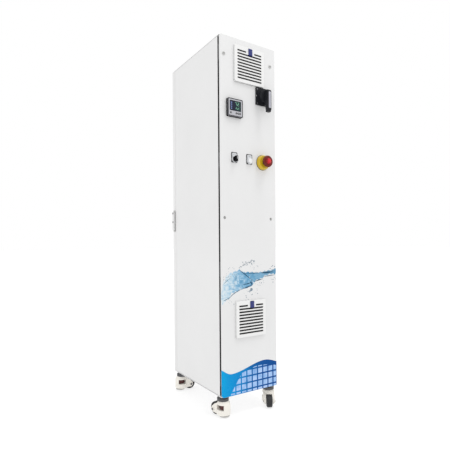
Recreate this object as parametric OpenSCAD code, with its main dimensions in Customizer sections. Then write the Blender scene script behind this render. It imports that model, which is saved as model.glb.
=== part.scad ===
// Free-standing salt chlorine generator: a slim sheet-metal cabinet on levelling casters.
// Millimetres, +Z up, front face towards -Y, left-hand service door on the -X side.
// The origin is on the floor, below the middle of the whole object's outline.

/* [Cabinet] */
// Width of the cabinet, door face to right side face
cab_w = 280; // [270:5:320]
// Depth of the cabinet, front panel face to rear panel face
cab_d = 430; // [400:5:460]
// Height of the cabinet without its casters
cab_h = 1440; // [1430:5:1520]
// Height of the cabinet's underside above the floor
lift = 86; // [85:1:92]
// Depth of the door pan
door_t = 18; // [16:0.5:20]
// Width of the shadow gap between front panel and door, where the hinges sit
slit_w = 12; // [11:0.5:13]

/* [Ventilation] */
// Side of the square louvred covers
cover_s = 148; // [146:1:150]
// How far the covers stand out of the front panel
cover_out = 8.3; // [8:0.1:9]
// Height of the upper cover's centre above the cabinet's underside
upper_filter_z = 1339; // [1339:1:1345]
// Height of the lower cover's centre above the cabinet's underside
lower_filter_z = 303; // [280:1:340]
// Number of louvres in a cover
louvres = 10; // [8:1:10]
// Number of blades on the fan
fan_blades = 7; // [5:1:9]

/* [Controls] */
// Side of the controller's front frame
ctrl_s = 72; // [70:1:74]
// Height of the controller's centre above the cabinet's underside
ctrl_z = 1154; // [1140:1:1160]
// Side of the main switch's front plate
switch_s = 74; // [70:1:75]
// Height of the main switch's axis above the cabinet's underside
switch_z = 1226; // [1215:1:1226]
// How far the main switch's handle reaches out of the front panel
handle_out = 50; // [48:1:56]
// Height of the selector, push button and emergency stop axes
button_z = 950; // [930:1:955]
// Diameter of the emergency stop's mushroom head
estop_head_d = 48; // [44:1:50]
// Diameter of the emergency stop's collar
estop_collar_d = 62; // [60:1:64]

/* [Casters] */
// Distance from the cabinet's side faces to a caster's swivel axis
caster_inset_x = 23; // [20:1:30]
// Distance from the cabinet's front and rear faces to a caster's swivel axis
caster_inset_y = 32; // [30:1:50]
// Diameter of a caster's wheel
wheel_d = 50; // [48:1:51]
// Distance from the swivel axis to the wheel's axle
trail = 38; // [38:0.5:40]
// Swivel angle of each caster: front left, front right, rear left, rear right
swivel = [190, -33, 87, 200];

/* [Electrolysis] */
// Outer diameter of the electrolysis cell
cell_d = 110; // [100:2:116]
// Height of the cell's lower water port above the cabinet's underside
port_low_z = 160; // [150:5:170]
// Height of the cell's upper water port above the cabinet's underside
port_high_z = 470; // [450:5:480]
// Number of electrode plates
plates = 9; // [5:2:11]
// Bore diameter of the water sockets
socket_bore_d = 50.2; // [50.1:0.1:50.4]
// How far the water sockets reach out of the rear panel
port_out = 40; // [38:1:50]

/* [Hidden] */
$fn = 48;
SIDES = ["front_left", "front_right", "rear_left", "rear_right"];
CASTER_PARTS = ["housing", "wheel", "dial", "foot"];
KEYS = ["menu", "back", "down", "up"];

// Colours
WHITE = [0.93, 0.93, 0.94];
GREY = [0.55, 0.56, 0.58];
DARK = [0.16, 0.17, 0.19];
STEEL = [0.75, 0.76, 0.78];
IVORY = [0.90, 0.87, 0.80];

// Clearances: a running fit's radial gap and the gap between parts that move past each other
fit = 0.05;
gap = 0.3;

// Sheet metal
sheet = 2;
base_t = 3;
hem = 6;
front_r = 5;
front_corner_r = 8;
post = 25;
rear_strip = 24;
frame_x = door_t + 4;
seam = 1.2;
latch_out = 10;
latch_post_d = 40;
hinge_post_w = 9;
hinge_post_d = 40;
screw_t = 2;
boss_r = 11;
boss_h = 8;

// Outline of the cabinet, with the whole object's outline centred on the origin
x_l = (max(latch_out, overhang(0, 180), overhang(2, 180)) - max(screw_t, overhang(1, 0), overhang(3, 0))
    - cab_w) / 2;
x_r = x_l + cab_w;
x_c = (x_l + x_r) / 2;
y_f = (max(handle_out, overhang(0, -90), overhang(1, -90)) - max(port_out, overhang(2, 90), overhang(3, 90))
    - cab_d) / 2;
y_b = y_f + cab_d;
z_0 = lift;
z_1 = lift + cab_h;

// Door and its hinges
door_f = y_f + hem + slit_w;
door_b = y_b - rear_strip - seam;
door_z0 = z_0 + base_t + 1.5;
door_z1 = z_1 - sheet - 1.5;
hinge_x = x_l + 4.5;
hinge_y = y_f + hem + slit_w / 2;
hinge_zs = [for (h = [76, 507, 942, 1370]) z_0 + h];
hinge_pin_r = 2.5;
knuckle_r = 4;
knuckle_half = 12;
leaf_half = 30;

// Latch at the door's rear edge
latch_y = y_b - 12.5;
latch_z0 = z_0 + 670;
latch_h = 102;
latch_pivot_z = latch_z0 + 88;
latch_pin_r = 3;

// Front panel screws: large heads at the top, small ones in the middle and at the bottom
screw_xs = [x_l + 18, x_r - 28];
screw_top_z = z_0 + 1365;
screw_low_zs = [z_0 + 714];
side_screw_zs = [z_0 + 60, z_0 + 500, z_0 + 940, z_0 + 1380];

// Filters: cover, hinge line at its lower edge, frame and cut-out
filter_zs = [z_0 + upper_filter_z, z_0 + lower_filter_z];
cutout_s = 124;
tub_s = 122;
tub_wall = 4;
tub_depth = 14;
flange_s = 134;
cover_wall = 2;
cover_skin = 2.5;
cover_hinge_y = y_f - 4.6;
cover_hinge_up = 4;
cover_pin_r = 1;
louvre_w = 122;
louvre_h = 7;
louvre_pitch = 12.3;
louvre_gap = 20;
tab_x = x_c + 3;
tab_w = 18;
tab_h = 26;
tab_t = 3;
tab_travel = 3;
tab_up = cover_s / 2 - 19;

// Fan behind the lower filter
fan_s = 119;
fan_y0 = y_f + 18;
fan_y1 = y_f + 56;
fan_z = filter_zs[1];
fan_bore_r = 56;
fan_shaft_r = 3;

// Controller
ctrl_x = x_l + 65;
ctrl_cz = z_0 + ctrl_z;
ctrl_out = 12;
ctrl_body_s = 67;
ctrl_depth = 58;
screen_w = 52;
screen_h = 38;
screen_up = 7;
key_r = 3.6;
key_down = 22;
key_xs = [-22, 4.5, 13.5, 22.5];

// Main switch
switch_x = x_l + 211;
switch_cz = z_0 + switch_z;
switch_plate_t = 5;
switch_ring_t = 6;
shaft_r = 4;
handle_w = 16;

// 22 mm operators
selector_x = x_l + 65;
push_x = x_l + 139.5;
estop_x = x_l + 208.5;
button_cz = z_0 + button_z;
legend_w = 28;
legend_h = 41;
legend_up = 7;
legend_t = 2;
bezel_r = 13.5;
bezel_t = 5;
cap_r = 10;
barrel_r = 11;
barrel_end = 26;
block_end = 58;
plunger_r = 12;
nose_r = 8;
estop_collar_t = 17;
estop_head_y = y_f - 30;

// Casters: heights above the floor, in the caster's own frame with the wheel towards -Y
stem_r = 6;
disc_r = 24;
disc_z0 = 66;
disc_z1 = 76;
stem_z0 = 55.5;
axle_r = 4;
wheel_w = 24;
wheel_r = wheel_d / 2;
body_r = 28;
body_z0 = 11;
body_z1 = 65.6;
foot_y = 9;
dial_r = 18.5;
dial_z0 = 34;
dial_z1 = 51.5;
spindle_r = 5;
spindle_top = 51.5;
pad_r = 20;
pad_z0 = 4;
pad_z1 = 9;
caster_xs = [x_l + caster_inset_x, x_r - caster_inset_x, x_l + caster_inset_x, x_r - caster_inset_x];
caster_ys = [y_f + caster_inset_y, y_f + caster_inset_y, y_b - caster_inset_y, y_b - caster_inset_y];

// Interior
board_x = x_r - 42;
board_z0 = z_0 + 600;
board_z1 = z_0 + 1370;
rail_zs = [z_0 + 1190, z_0 + 1000];
rail_y0 = y_f + 95;
rail_y1 = y_b - 50;
cell_x = x_c + 22;
cell_y = y_b - 135;
cell_r = cell_d / 2;
cell_wall = 5;
rod_y = 24;
rod_r = 4;
cell_z0 = z_0 + port_low_z - 60;
cell_z1 = z_0 + port_high_z + 60;
port_zs = [z_0 + port_low_z, z_0 + port_high_z];
pipe_r = 25;
pipe_bore_r = 21;
socket_r = 31;
socket_depth = 32;
gland_x = x_l + 70;
gland_z = z_0 + 640;
gland_bore_r = 8;
gland_thread_r = 12.5;
gland_out = 30;

// How far a caster reaches from its swivel axis in plan, and past the cabinet's face, towards the angle a
function reach(i, a) =
    let (c = abs(cos(a - swivel[i])), s = sin(a - swivel[i]))
    max(28 + 4 * s, 21 * c - 48 * s, 24 * c - trail * s + 6.5 * abs(s),
        7 * c - (trail + 25) * s, 10 * c - (trail + 24) * s);
function overhang(i, a) =
    reach(i, a) - (abs(cos(a)) > 0.5 ? caster_inset_x : caster_inset_y);

// ---- Shared shapes ----

// Box between two opposite corners
module block(lo, hi) {
    translate(lo)
        cube(hi - lo);
}

// Round bars along X, Y and Z
module bar_x(x0, x1, y, z, r) {
    translate([x0, y, z])
        rotate([0, 90, 0])
            cylinder(r = r, h = x1 - x0);
}

module bar_y(x, y0, y1, z, r) {
    translate([x, y1, z])
        rotate([90, 0, 0])
            cylinder(r = r, h = y1 - y0);
}

module bar_z(x, y, z0, z1, r) {
    translate([x, y, z0])
        cylinder(r = r, h = z1 - z0);
}

// Rectangle with round corners, centred
module rounded(w, h, r) {
    square([w - 2 * r, h], center = true);
    square([w, h - 2 * r], center = true);
    for (sx = [-1, 1], sy = [-1, 1])
        translate([sx * (w / 2 - r), sy * (h / 2 - r)])
            circle(r);
}

// Rounded plate that faces the front, between two depths
module front_plate(x, z, w, h, r, y0, y1) {
    translate([x, y1, z])
        rotate([90, 0, 0])
            linear_extrude(y1 - y0)
                rounded(w, h, r);
}

// Cutter through the front panel's thickness
module front_hole(x, z, r) {
    bar_y(x, y_f - 1, y_f + hem + 1, z, r);
}

// ---- Cabinet ----

module base_tray() {
    color(WHITE)
    difference() {
        union() {
            block([x_l, y_f + hem, z_0], [x_r, y_b, z_0 + base_t]);
            // Sill below the door and upstands along the other sides
            block([x_l + frame_x, y_f + hem + hinge_post_d, z_0],
                  [x_l + frame_x + sheet, y_b - sheet - latch_post_d, z_0 + 24]);
            block([x_r - 27, y_f + 31, z_0], [x_r - 25, y_b - 27, z_0 + 24]);
            block([x_l + 47, y_b - 10, z_0], [x_r - 27, y_b - 8, z_0 + 24]);
            // Bosses for the casters' stems
            for (i = [0:3])
                bar_z(caster_xs[i], caster_ys[i], z_0 - boss_h, z_0 + 1, boss_r);
        }
        for (i = [0:3])
            bar_z(caster_xs[i], caster_ys[i], z_0 - boss_h - 1, z_0 + base_t + 1, stem_r + 0.2);
    }
}

module top_cover() {
    color(WHITE) {
        block([x_l, y_f + hem, z_1 - sheet], [x_r, y_b, z_1]);
        block([x_l + frame_x, y_f + hem + hinge_post_d, z_1 - 24],
              [x_l + frame_x + sheet, y_b - sheet - latch_post_d, z_1 - sheet]);
        block([x_r - 27, y_f + 31, z_1 - 24], [x_r - 25, y_b - 27, z_1 - sheet]);
        block([x_l + 47, y_b - 10, z_1 - 24], [x_r - 27, y_b - 8, z_1 - sheet]);
    }
}

module right_panel() {
    color(WHITE)
    difference() {
        block([x_r - sheet, y_f + hem, z_0 + base_t], [x_r, y_b - sheet, z_1 - sheet]);
        for (z = side_screw_zs, y = [y_f + 18, y_b - 14])
            bar_x(x_r - sheet - 1, x_r + 1, y, z, 2.2);
    }
}

module rear_panel() {
    vent_rows = 7;
    color(WHITE)
    difference() {
        union() {
            block([x_l, y_b - sheet, z_0 + base_t], [x_r, y_b, z_1 - sheet]);
            // Narrow strip of the left side, behind the door's rear edge
            block([x_l, y_b - rear_strip, z_0 + base_t], [x_l + sheet, y_b, z_1 - sheet]);
            block([x_l, y_b - rear_strip, z_0 + base_t], [x_l + 20, y_b - rear_strip + sheet, z_1 - sheet]);
        }
        for (z = port_zs)
            bar_y(cell_x, y_b - sheet - 1, y_b + 1, z, pipe_r + 1);
        bar_y(gland_x, y_b - sheet - 1, y_b + 1, gland_z, gland_thread_r + 0.2);
        for (z = side_screw_zs, x = [x_l + 34, x_r - 14])
            bar_y(x, y_b - sheet - 1, y_b + 1, z, 2.2);
        for (row = [0:vent_rows - 1])
            front_plate(x_c, z_0 + 1250 + row * 14, 120, 5, 2.4, y_b - sheet - 1, y_b + 1);
    }
}

// Shallow pan with rounded corners and rounded upright edges, screwed to the front of the frame
module front_panel() {
    r = front_r;
    color(WHITE)
    difference() {
        intersection() {
            front_plate(x_c, (z_0 + z_1) / 2, cab_w, cab_h, front_corner_r, y_f, y_f + hem);
            union() {
                block([x_l + r, y_f, z_0], [x_r - r, y_f + hem, z_1]);
                block([x_l, y_f + r, z_0], [x_r, y_f + hem, z_1]);
                for (x = [x_l + r, x_r - r])
                    bar_z(x, y_f + r, z_0, z_1, r);
            }
        }
        block([x_l + hem, y_f + sheet, z_0 + base_t], [x_r - hem, y_f + hem + 1, z_1 - sheet]);
        for (z = filter_zs)
            front_plate(x_c, z, cutout_s, cutout_s, 3, y_f - 1, y_f + sheet + 1);
        front_plate(ctrl_x, ctrl_cz, ctrl_body_s + 1, ctrl_body_s + 1, 2, y_f - 1, y_f + sheet + 1);
        front_hole(switch_x, switch_cz, 14);
        for (x = [selector_x, push_x])
            front_hole(x, button_cz, barrel_r + 0.2);
        front_hole(estop_x, button_cz, plunger_r + 1);
        for (x = screw_xs, z = concat(screw_low_zs, [screw_top_z]))
            front_hole(x, z, 2.2);
    }
}

// Square tube between the tray and the top cover
module tube_post(x0, y0, w, d) {
    difference() {
        block([x0, y0, z_0 + base_t], [x0 + w, y0 + d, z_1 - sheet]);
        block([x0 + sheet, y0 + sheet, z_0], [x0 + w - sheet, y0 + d - sheet, z_1]);
    }
}

module corner_posts() {
    color(WHITE) {
        tube_post(x_l + frame_x, y_f + hem, hinge_post_w, hinge_post_d);
        tube_post(x_l + frame_x, y_b - sheet - latch_post_d, post, latch_post_d);
        tube_post(x_r - sheet - post, y_f + hem, post, post);
        tube_post(x_r - sheet - post, y_b - sheet - post, post, post);
    }
}

// ---- Service door ----

module side_door() {
    color(WHITE) {
        difference() {
            block([x_l, door_f, door_z0], [x_l + door_t, door_b, door_z1]);
            block([x_l + sheet, door_f + sheet, door_z0 + sheet],
                  [x_l + door_t + 1, door_b - sheet, door_z1 - sheet]);
        }
        for (h = [360, 720, 1080])
            block([x_l + sheet, door_f + 20, z_0 + h], [x_l + 10, door_b - 20, z_0 + h + 30]);
    }
}

module door_gasket() {
    w = 9;
    y0 = door_f + 2;
    y1 = y_b - 28;
    x0 = x_l + door_t + gap;
    x1 = x_l + frame_x;
    color(DARK)
    difference() {
        block([x0, y0, z_0 + 9], [x1, y1, z_1 - 8]);
        block([x0 - 1, y0 + w, z_0 + 9 + w], [x1 + 1, y1 - w, z_1 - 8 - w]);
    }
}

// Middle knuckle, pin and leaf of each hinge, welded to the front left post
module frame_hinges() {
    color(DARK)
    for (z = hinge_zs) {
        bar_z(hinge_x, hinge_y, z - knuckle_half, z + knuckle_half, knuckle_r);
        bar_z(hinge_x, hinge_y, z - leaf_half, z + leaf_half, hinge_pin_r);
        block([hinge_x, hinge_y - knuckle_r, z - knuckle_half],
              [x_l + frame_x, hinge_y - 1.5, z + knuckle_half]);
    }
}

// Outer knuckles and leaf of each hinge, on the door's front edge
module door_hinges() {
    color(DARK)
    for (z = hinge_zs)
        difference() {
            union() {
                for (z0 = [z - leaf_half, z + knuckle_half + gap])
                    union() {
                        bar_z(hinge_x, hinge_y, z0, z0 + leaf_half - knuckle_half - gap, knuckle_r);
                        block([hinge_x - 2, hinge_y, z0],
                              [hinge_x + 2, door_f - 1, z0 + leaf_half - knuckle_half - gap]);
                    }
                block([x_l + sheet, door_f - 1.2, z - leaf_half], [x_l + 16, door_f, z + leaf_half]);
            }
            bar_z(hinge_x, hinge_y, z - leaf_half - 1, z + leaf_half + 1, hinge_pin_r + fit);
        }
}

// Plate and pivot pin of the turn latch, on the strip behind the door
module latch_base() {
    color(STEEL) {
        block([x_l - sheet, latch_y - 9.5, latch_z0], [x_l, latch_y + 9.5, latch_z0 + latch_h]);
        bar_x(x_l - latch_out, x_l - sheet + 0.5, latch_y, latch_pivot_z, latch_pin_r);
    }
}

// Lever that hangs down when open and is turned across the door's edge to hold it shut
module latch_lever() {
    x0 = x_l - latch_out + 0.5;
    x1 = x_l - sheet - gap;
    r = 7;
    low = latch_z0 + 6 + r;
    color(WHITE)
    difference() {
        union() {
            bar_x(x0, x1, latch_y, latch_pivot_z, r);
            bar_x(x0, x1, latch_y, low, r);
            block([x0, latch_y - r, low], [x1, latch_y + r, latch_pivot_z]);
        }
        bar_x(x0 - 1, x1 + 1, latch_y, latch_pivot_z, latch_pin_r + fit);
        bar_x(x0 - 1, x0 + 2, latch_y, latch_pivot_z - 42, 3);
    }
}

// Round-headed screw; the head stands on the face at the origin and points to -Y
module screw(head_r, head_t, shank) {
    bar_y(0, -head_t, 0, 0, head_r);
    bar_y(0, -0.2, shank, 0, 2);
}

module panel_screws() {
    color(STEEL) {
        for (x = screw_xs) {
            translate([x, y_f, screw_top_z])
                screw(6.5, 2.4, 4);
            for (z = screw_low_zs)
                translate([x, y_f, z])
                    screw(4, screw_t, 4);
        }
        for (z = side_screw_zs) {
            for (x = [x_l + 34, x_r - 14])
                translate([x, y_b, z])
                    rotate([0, 0, 180])
                        screw(4, screw_t, sheet);
            for (y = [y_f + 18, y_b - 14])
                translate([x_r, y, z])
                    rotate([0, 0, 90])
                        screw(4, screw_t, sheet);
        }
    }
}

// ---- Filters and fan ----

// Lug and snap pin that a cover turns on; side is -1 or 1
module cover_pivot(z_low, side) {
    x = x_c + side * 50;
    block([x - 1, y_f - 5.3, z_low + 3.5], [x + 1, y_f - 3, z_low + 9]);
    block([x - 1, y_f - 3, z_low + 7], [x + 1, y_f, z_low + 9]);
    bar_x(min(x, x + side * 10), max(x, x + side * 10), cover_hinge_y, z_low + cover_hinge_up, cover_pin_r);
}

module filter_frame(z) {
    z_low = z - cover_s / 2;
    difference() {
        union() {
            front_plate(x_c, z, flange_s, flange_s, 3, y_f - 2.2, y_f);
            front_plate(x_c, z, tub_s, tub_s, 2, y_f - 1, y_f + tub_depth);
            for (side = [-1, 1])
                cover_pivot(z_low, side);
        }
        front_plate(x_c, z, tub_s - 2 * tub_wall, tub_s - 2 * tub_wall, 1, y_f - 3, y_f + tub_depth + 1);
    }
    // Bars that carry the mat
    for (i = [-1, 0, 1]) {
        block([x_c + i * 30 - 1.5, y_f + 12, z - tub_s / 2 + 2],
              [x_c + i * 30 + 1.5, y_f + tub_depth, z + tub_s / 2 - 2]);
        block([x_c - tub_s / 2 + 2, y_f + 12, z + i * 30 - 1.5],
              [x_c + tub_s / 2 - 2, y_f + tub_depth, z + i * 30 + 1.5]);
    }
}

module filter_frames() {
    color(WHITE)
    for (z = filter_zs)
        filter_frame(z);
}

module filter_mats() {
    mat_s = tub_s - 2 * tub_wall - 1;
    color([0.12, 0.12, 0.13])
    for (z = filter_zs)
        front_plate(x_c, z, mat_s, mat_s, 1, y_f + 1, y_f + 11.8);
}

// Louvred cover with a pocket for its latch tab and two ears that snap on the frame's pins
module louvre_cover(z) {
    z_low = z - cover_s / 2;
    y_out = y_f - cover_out;
    inner = cover_s - 2 * cover_wall;
    first = z - 2 + (louvres - 1) * louvre_pitch / 2;
    difference() {
        union() {
            difference() {
                front_plate(x_c, z, cover_s, cover_s, 3, y_out, y_f - 0.5);
                front_plate(x_c, z, inner, inner, 2, y_out + cover_skin, y_f);
                // The lower wall is cut back so that it clears the panel as the cover turns
                block([x_c - cover_s / 2 - 1, y_f - 3.8, z_low - 1],
                      [x_c + cover_s / 2 + 1, y_f, z_low + 9]);
            }
            for (side = [-1, 1])
                block([x_c + side * 55 - 3, y_out + 1, z_low + 1],
                      [x_c + side * 55 + 3, y_f - 3.35, z_low + 6]);
        }
        bar_x(x_c - 60, x_c + 60, cover_hinge_y, z_low + cover_hinge_up, cover_pin_r + fit);
        // The top louvre is in two parts, one each side of the tab
        for (side = [-1, 1])
            front_plate((x_c + side * louvre_w / 2 + tab_x + side * louvre_gap) / 2, first,
                        louvre_w / 2 - louvre_gap - side * (tab_x - x_c), louvre_h, 2.4, y_out - 1, y_f);
        for (i = [1:louvres - 1])
            front_plate(x_c, first - i * louvre_pitch, louvre_w, louvre_h, 2.4, y_out - 1, y_f);
        front_plate(tab_x, z + tab_up, tab_w + 2 * gap, tab_h + 2 * tab_travel, 1, y_out - 1, y_out + 5);
    }
}

// Spring tab that is pressed down to release its cover
module latch_tab(z) {
    y_out = y_f - cover_out;
    zc = z + tab_up + tab_travel / 2;
    difference() {
        front_plate(tab_x, zc, tab_w, tab_h, 1, y_out - tab_t, y_out + cover_skin + 1.6);
        // Finger groove across the face
        bar_x(tab_x - tab_w, tab_x + tab_w, y_out - tab_t - 2, zc + 5, 3);
    }
}

module upper_cover() {
    color(WHITE)
    louvre_cover(filter_zs[0]);
}

module lower_cover() {
    color(WHITE)
    louvre_cover(filter_zs[1]);
}

module upper_latch() {
    color([0.1, 0.2, 0.5])
    latch_tab(filter_zs[0]);
}

module lower_latch() {
    color([0.1, 0.2, 0.5])
    latch_tab(filter_zs[1]);
}

module fan_frame() {
    color(DARK) {
        difference() {
            front_plate(x_c, fan_z, fan_s, fan_s, 5, fan_y0, fan_y1);
            bar_y(x_c, fan_y0 - 1, fan_y1 + 1, fan_z, fan_bore_r);
            for (sx = [-1, 1], sz = [-1, 1])
                bar_y(x_c + sx * 52.5, fan_y0 - 1, fan_y1 + 1, fan_z + sz * 52.5, 2.2);
        }
        bar_y(x_c, fan_y1 - 5, fan_y1, fan_z, 21);
        for (a = [0:3])
            translate([x_c, 0, fan_z])
                rotate([0, 45 + a * 90, 0])
                    block([15, fan_y1 - 4, -2.5], [fan_bore_r + 1.5, fan_y1 - 1, 2.5]);
        bar_y(x_c, fan_y0 + 8, fan_y1 - 4, fan_z, fan_shaft_r);
    }
}

module fan_rotor() {
    blade_r = fan_bore_r - 2;
    color(DARK)
    difference() {
        union() {
            bar_y(x_c, fan_y0 + 3, fan_y1 - 6, fan_z, 20);
            for (i = [0:fan_blades - 1])
                translate([x_c, (fan_y0 + fan_y1) / 2 - 1, fan_z])
                    rotate([0, i * 360 / fan_blades, 0])
                        rotate([35, 0, 0])
                            block([18, -1, -13], [blade_r - 5, 1, 13]);
        }
        bar_y(x_c, fan_y0 + 7, fan_y1, fan_z, fan_shaft_r + fit);
    }
}

// ---- Controller ----

module controller_case() {
    y_out = y_f - ctrl_out;
    color(DARK)
    difference() {
        union() {
            front_plate(ctrl_x, ctrl_cz, ctrl_s, ctrl_s, 4, y_out, y_f);
            front_plate(ctrl_x, ctrl_cz, ctrl_body_s, ctrl_body_s, 1.5, y_f - 1, y_f + ctrl_depth);
        }
        front_plate(ctrl_x, ctrl_cz + screen_up, screen_w, screen_h, 1.5, y_out - 1, y_out + 1.5);
        for (x = key_xs)
            bar_y(ctrl_x + x, y_out - 1, y_out + 5, ctrl_cz - key_down, key_r + 0.1);
    }
}

module controller_screen() {
    y_out = y_f - ctrl_out;
    color([0.12, 0.16, 0.28])
    front_plate(ctrl_x, ctrl_cz + screen_up, screen_w - 0.6, screen_h - 0.6, 1.3, y_out + 0.3, y_out + 1.5);
}

module controller_key(i) {
    y_out = y_f - ctrl_out;
    color(DARK)
    bar_y(ctrl_x + key_xs[i], y_out - 1, y_out + 4.2, ctrl_cz - key_down, key_r);
}

// ---- Main switch ----

module switch_plate() {
    ring_y = y_f - switch_plate_t - switch_ring_t;
    color(DARK)
    difference() {
        union() {
            front_plate(switch_x, switch_cz, switch_s, switch_s, 4, y_f - switch_plate_t, y_f);
            bar_y(switch_x, ring_y, y_f - 1, switch_cz, 33);
        }
        bar_y(switch_x, ring_y - 1, y_f + 1, switch_cz, shaft_r + fit);
        for (sx = [-1, 1], sz = [-1, 1])
            bar_y(switch_x + sx * 30, y_f - 6, y_f + 1, switch_cz + sz * 30, 2.2);
    }
}

module switch_handle() {
    y_hub = y_f - switch_plate_t - switch_ring_t - gap;
    y_out = y_f - handle_out;
    color(DARK) {
        bar_y(switch_x, y_hub - 14, y_hub, switch_cz, 27);
        bar_y(switch_x, y_hub - 1, y_f + 22, switch_cz, shaft_r);
        // Pistol grip: its outline in depth and height, extruded across its width
        translate([switch_x - handle_w / 2, 0, switch_cz])
            rotate([90, 0, 90])
                linear_extrude(handle_w)
                    polygon([
                        [y_hub - 1, 19], [y_out + 5, 19], [y_out, 13], [y_out, -61],
                        [y_out + 4, -72], [y_out + 17, -72], [y_out + 22, -34], [y_hub - 1, -26]
                    ]);
    }
}

module switch_body() {
    color(DARK)
    difference() {
        union() {
            block([switch_x - 30, y_f + sheet, switch_cz - 30], [switch_x + 30, y_f + 56, switch_cz + 30]);
            for (sz = [-1, 1])
                block([switch_x - 24, y_f + 20, switch_cz + sz * 34 - 6],
                      [switch_x + 24, y_f + 44, switch_cz + sz * 34 + 6]);
        }
        bar_y(switch_x, y_f, y_f + 24, switch_cz, shaft_r + fit);
    }
}

// ---- Push button, selector and emergency stop ----

module contact_block(x) {
    block([x - 15, y_f + barrel_end, button_cz - 20], [x + 15, y_f + block_end, button_cz + 20]);
}

// Legend holder, bezel, threaded barrel, ring nut and contact block of a 22 mm operator
module operator_body(x) {
    difference() {
        union() {
            front_plate(x, button_cz + legend_up, legend_w, legend_h, 3, y_f - legend_t, y_f);
            bar_y(x, y_f - legend_t - bezel_t, y_f - legend_t + 0.5, button_cz, bezel_r);
            bar_y(x, y_f - 1, y_f + barrel_end, button_cz, barrel_r);
            bar_y(x, y_f + sheet, y_f + 8, button_cz, 14);
            contact_block(x);
        }
        bar_y(x, y_f - legend_t - bezel_t - 1, y_f + barrel_end - 2, button_cz, cap_r + fit);
    }
}

module operator_bodies() {
    color(DARK) {
        operator_body(selector_x);
        operator_body(push_x);
        contact_block(estop_x);
    }
}

module selector_knob() {
    y_face = y_f - legend_t - bezel_t;
    color(DARK) {
        bar_y(selector_x, y_face - 3, y_f + 10, button_cz, cap_r);
        front_plate(selector_x, button_cz, 8, 24, 3, y_face - 16, y_face - 2);
    }
}

module push_cap() {
    y_face = y_f - legend_t - bezel_t;
    color([0.9, 0.92, 0.94]) {
        bar_y(push_x, y_face - 3, y_f + 10, button_cz, cap_r);
        bar_y(push_x, y_face - 4, y_face - 2, button_cz, cap_r - 1);
    }
}

// Turned part with its axis along Y: points are [radius, depth in front of the panel]
module turned(x, z, outline) {
    translate([x, y_f, z])
        rotate([90, 0, 0])
            rotate_extrude()
                polygon(outline);
}

module estop_collar() {
    r = estop_collar_d / 2;
    t = estop_collar_t;
    color([0.95, 0.78, 0.1])
    difference() {
        union() {
            turned(estop_x, button_cz, [[0, 0], [r, 0], [r, 4], [r - 2, t - 4], [r - 5, t], [0, t]]);
            bar_y(estop_x, y_f - 1, y_f + barrel_end, button_cz, plunger_r + 0.8);
            bar_y(estop_x, y_f + sheet, y_f + 8, button_cz, 18);
        }
        bar_y(estop_x, y_f - t - 1, y_f + barrel_end + 1, button_cz, plunger_r + fit);
    }
}

module estop_plunger() {
    color(DARK) {
        bar_y(estop_x, estop_head_y + gap, y_f + barrel_end - 6, button_cz, plunger_r);
        bar_y(estop_x, estop_head_y - 10, estop_head_y + 1, button_cz, nose_r);
    }
}

module estop_head() {
    r = estop_head_d / 2;
    d = y_f - estop_head_y;
    dome = [for (a = [0:15:90]) [13 * cos(a), d + 12 + 7 * sin(a)]];
    color([0.85, 0.08, 0.08])
    difference() {
        turned(estop_x, button_cz, concat([[0, d], [14, d], [r - 2, d + 2], [r, d + 5], [r, d + 9],
                                           [r - 3, d + 12.5], [r - 7, d + 12.5]], dome));
        bar_y(estop_x, estop_head_y - 10.5, estop_head_y + 1, button_cz, nose_r + fit);
    }
}

// ---- Casters ----

module at_caster(i) {
    translate([caster_xs[i], caster_ys[i], 0])
        rotate(swivel[i])
            children();
}

// Threaded stem with its disc and lock nut, screwed up into the tray's boss
module caster_stems() {
    color(STEEL)
    for (i = [0:3])
        at_caster(i) {
            bar_z(0, 0, stem_z0, z_0 + 2.5, stem_r);
            bar_z(0, 0, disc_z0, disc_z1, disc_r);
            translate([0, 0, disc_z1 - 1])
                cylinder(r = boss_r, h = z_0 - boss_h - disc_z1 + 1, $fn = 6);
        }
}

// Die-cast body with a wide window on each side for the levelling dial, two cheeks and the wheel's axle
module caster_housing(i) {
    cheek = 7.5;
    inside = wheel_w / 2 + 1.5;
    color(IVORY)
    at_caster(i) {
        difference() {
            union() {
                translate([0, 4, 0])
                    rotate_extrude()
                        polygon([[0, body_z0], [body_r - 2, body_z0], [body_r, body_z0 + 3], [body_r, 50],
                                 [body_r - 3, 59], [body_r - 8, body_z1], [0, body_z1]]);
                translate([-inside - cheek, 0, 0])
                    rotate([90, 0, 90])
                        linear_extrude(2 * (inside + cheek))
                            polygon([
                                [4, 13], [4, 58], [-12, 57], [-28, 49], [-44, 36], [-48, 27], [-46, 18],
                                [-38, 13]
                            ]);
            }
            bar_x(-inside, inside, -trail, wheel_r, wheel_r + 2);
            block([-inside, -80, 8], [inside, -trail, 44]);
            bar_z(0, foot_y, dial_z0 - gap, dial_z1 + gap, dial_r + 0.5);
            block([-40, foot_y - 18, dial_z0 - 2], [40, foot_y + 16, dial_z1 + 1]);
            bar_z(0, foot_y, 0, spindle_top + 1, spindle_r + fit);
            bar_z(0, 0, stem_z0 - 1, z_0, stem_r + fit);
        }
        bar_x(-inside - 0.5, inside + 0.5, -trail, wheel_r, axle_r);
        for (side = [-1, 1])
            bar_x(side * (inside + cheek) + (side < 0 ? -3 : -0.5),
                  side * (inside + cheek) + (side < 0 ? 0.5 : 3), -trail, wheel_r, 6.5);
    }
}

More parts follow.
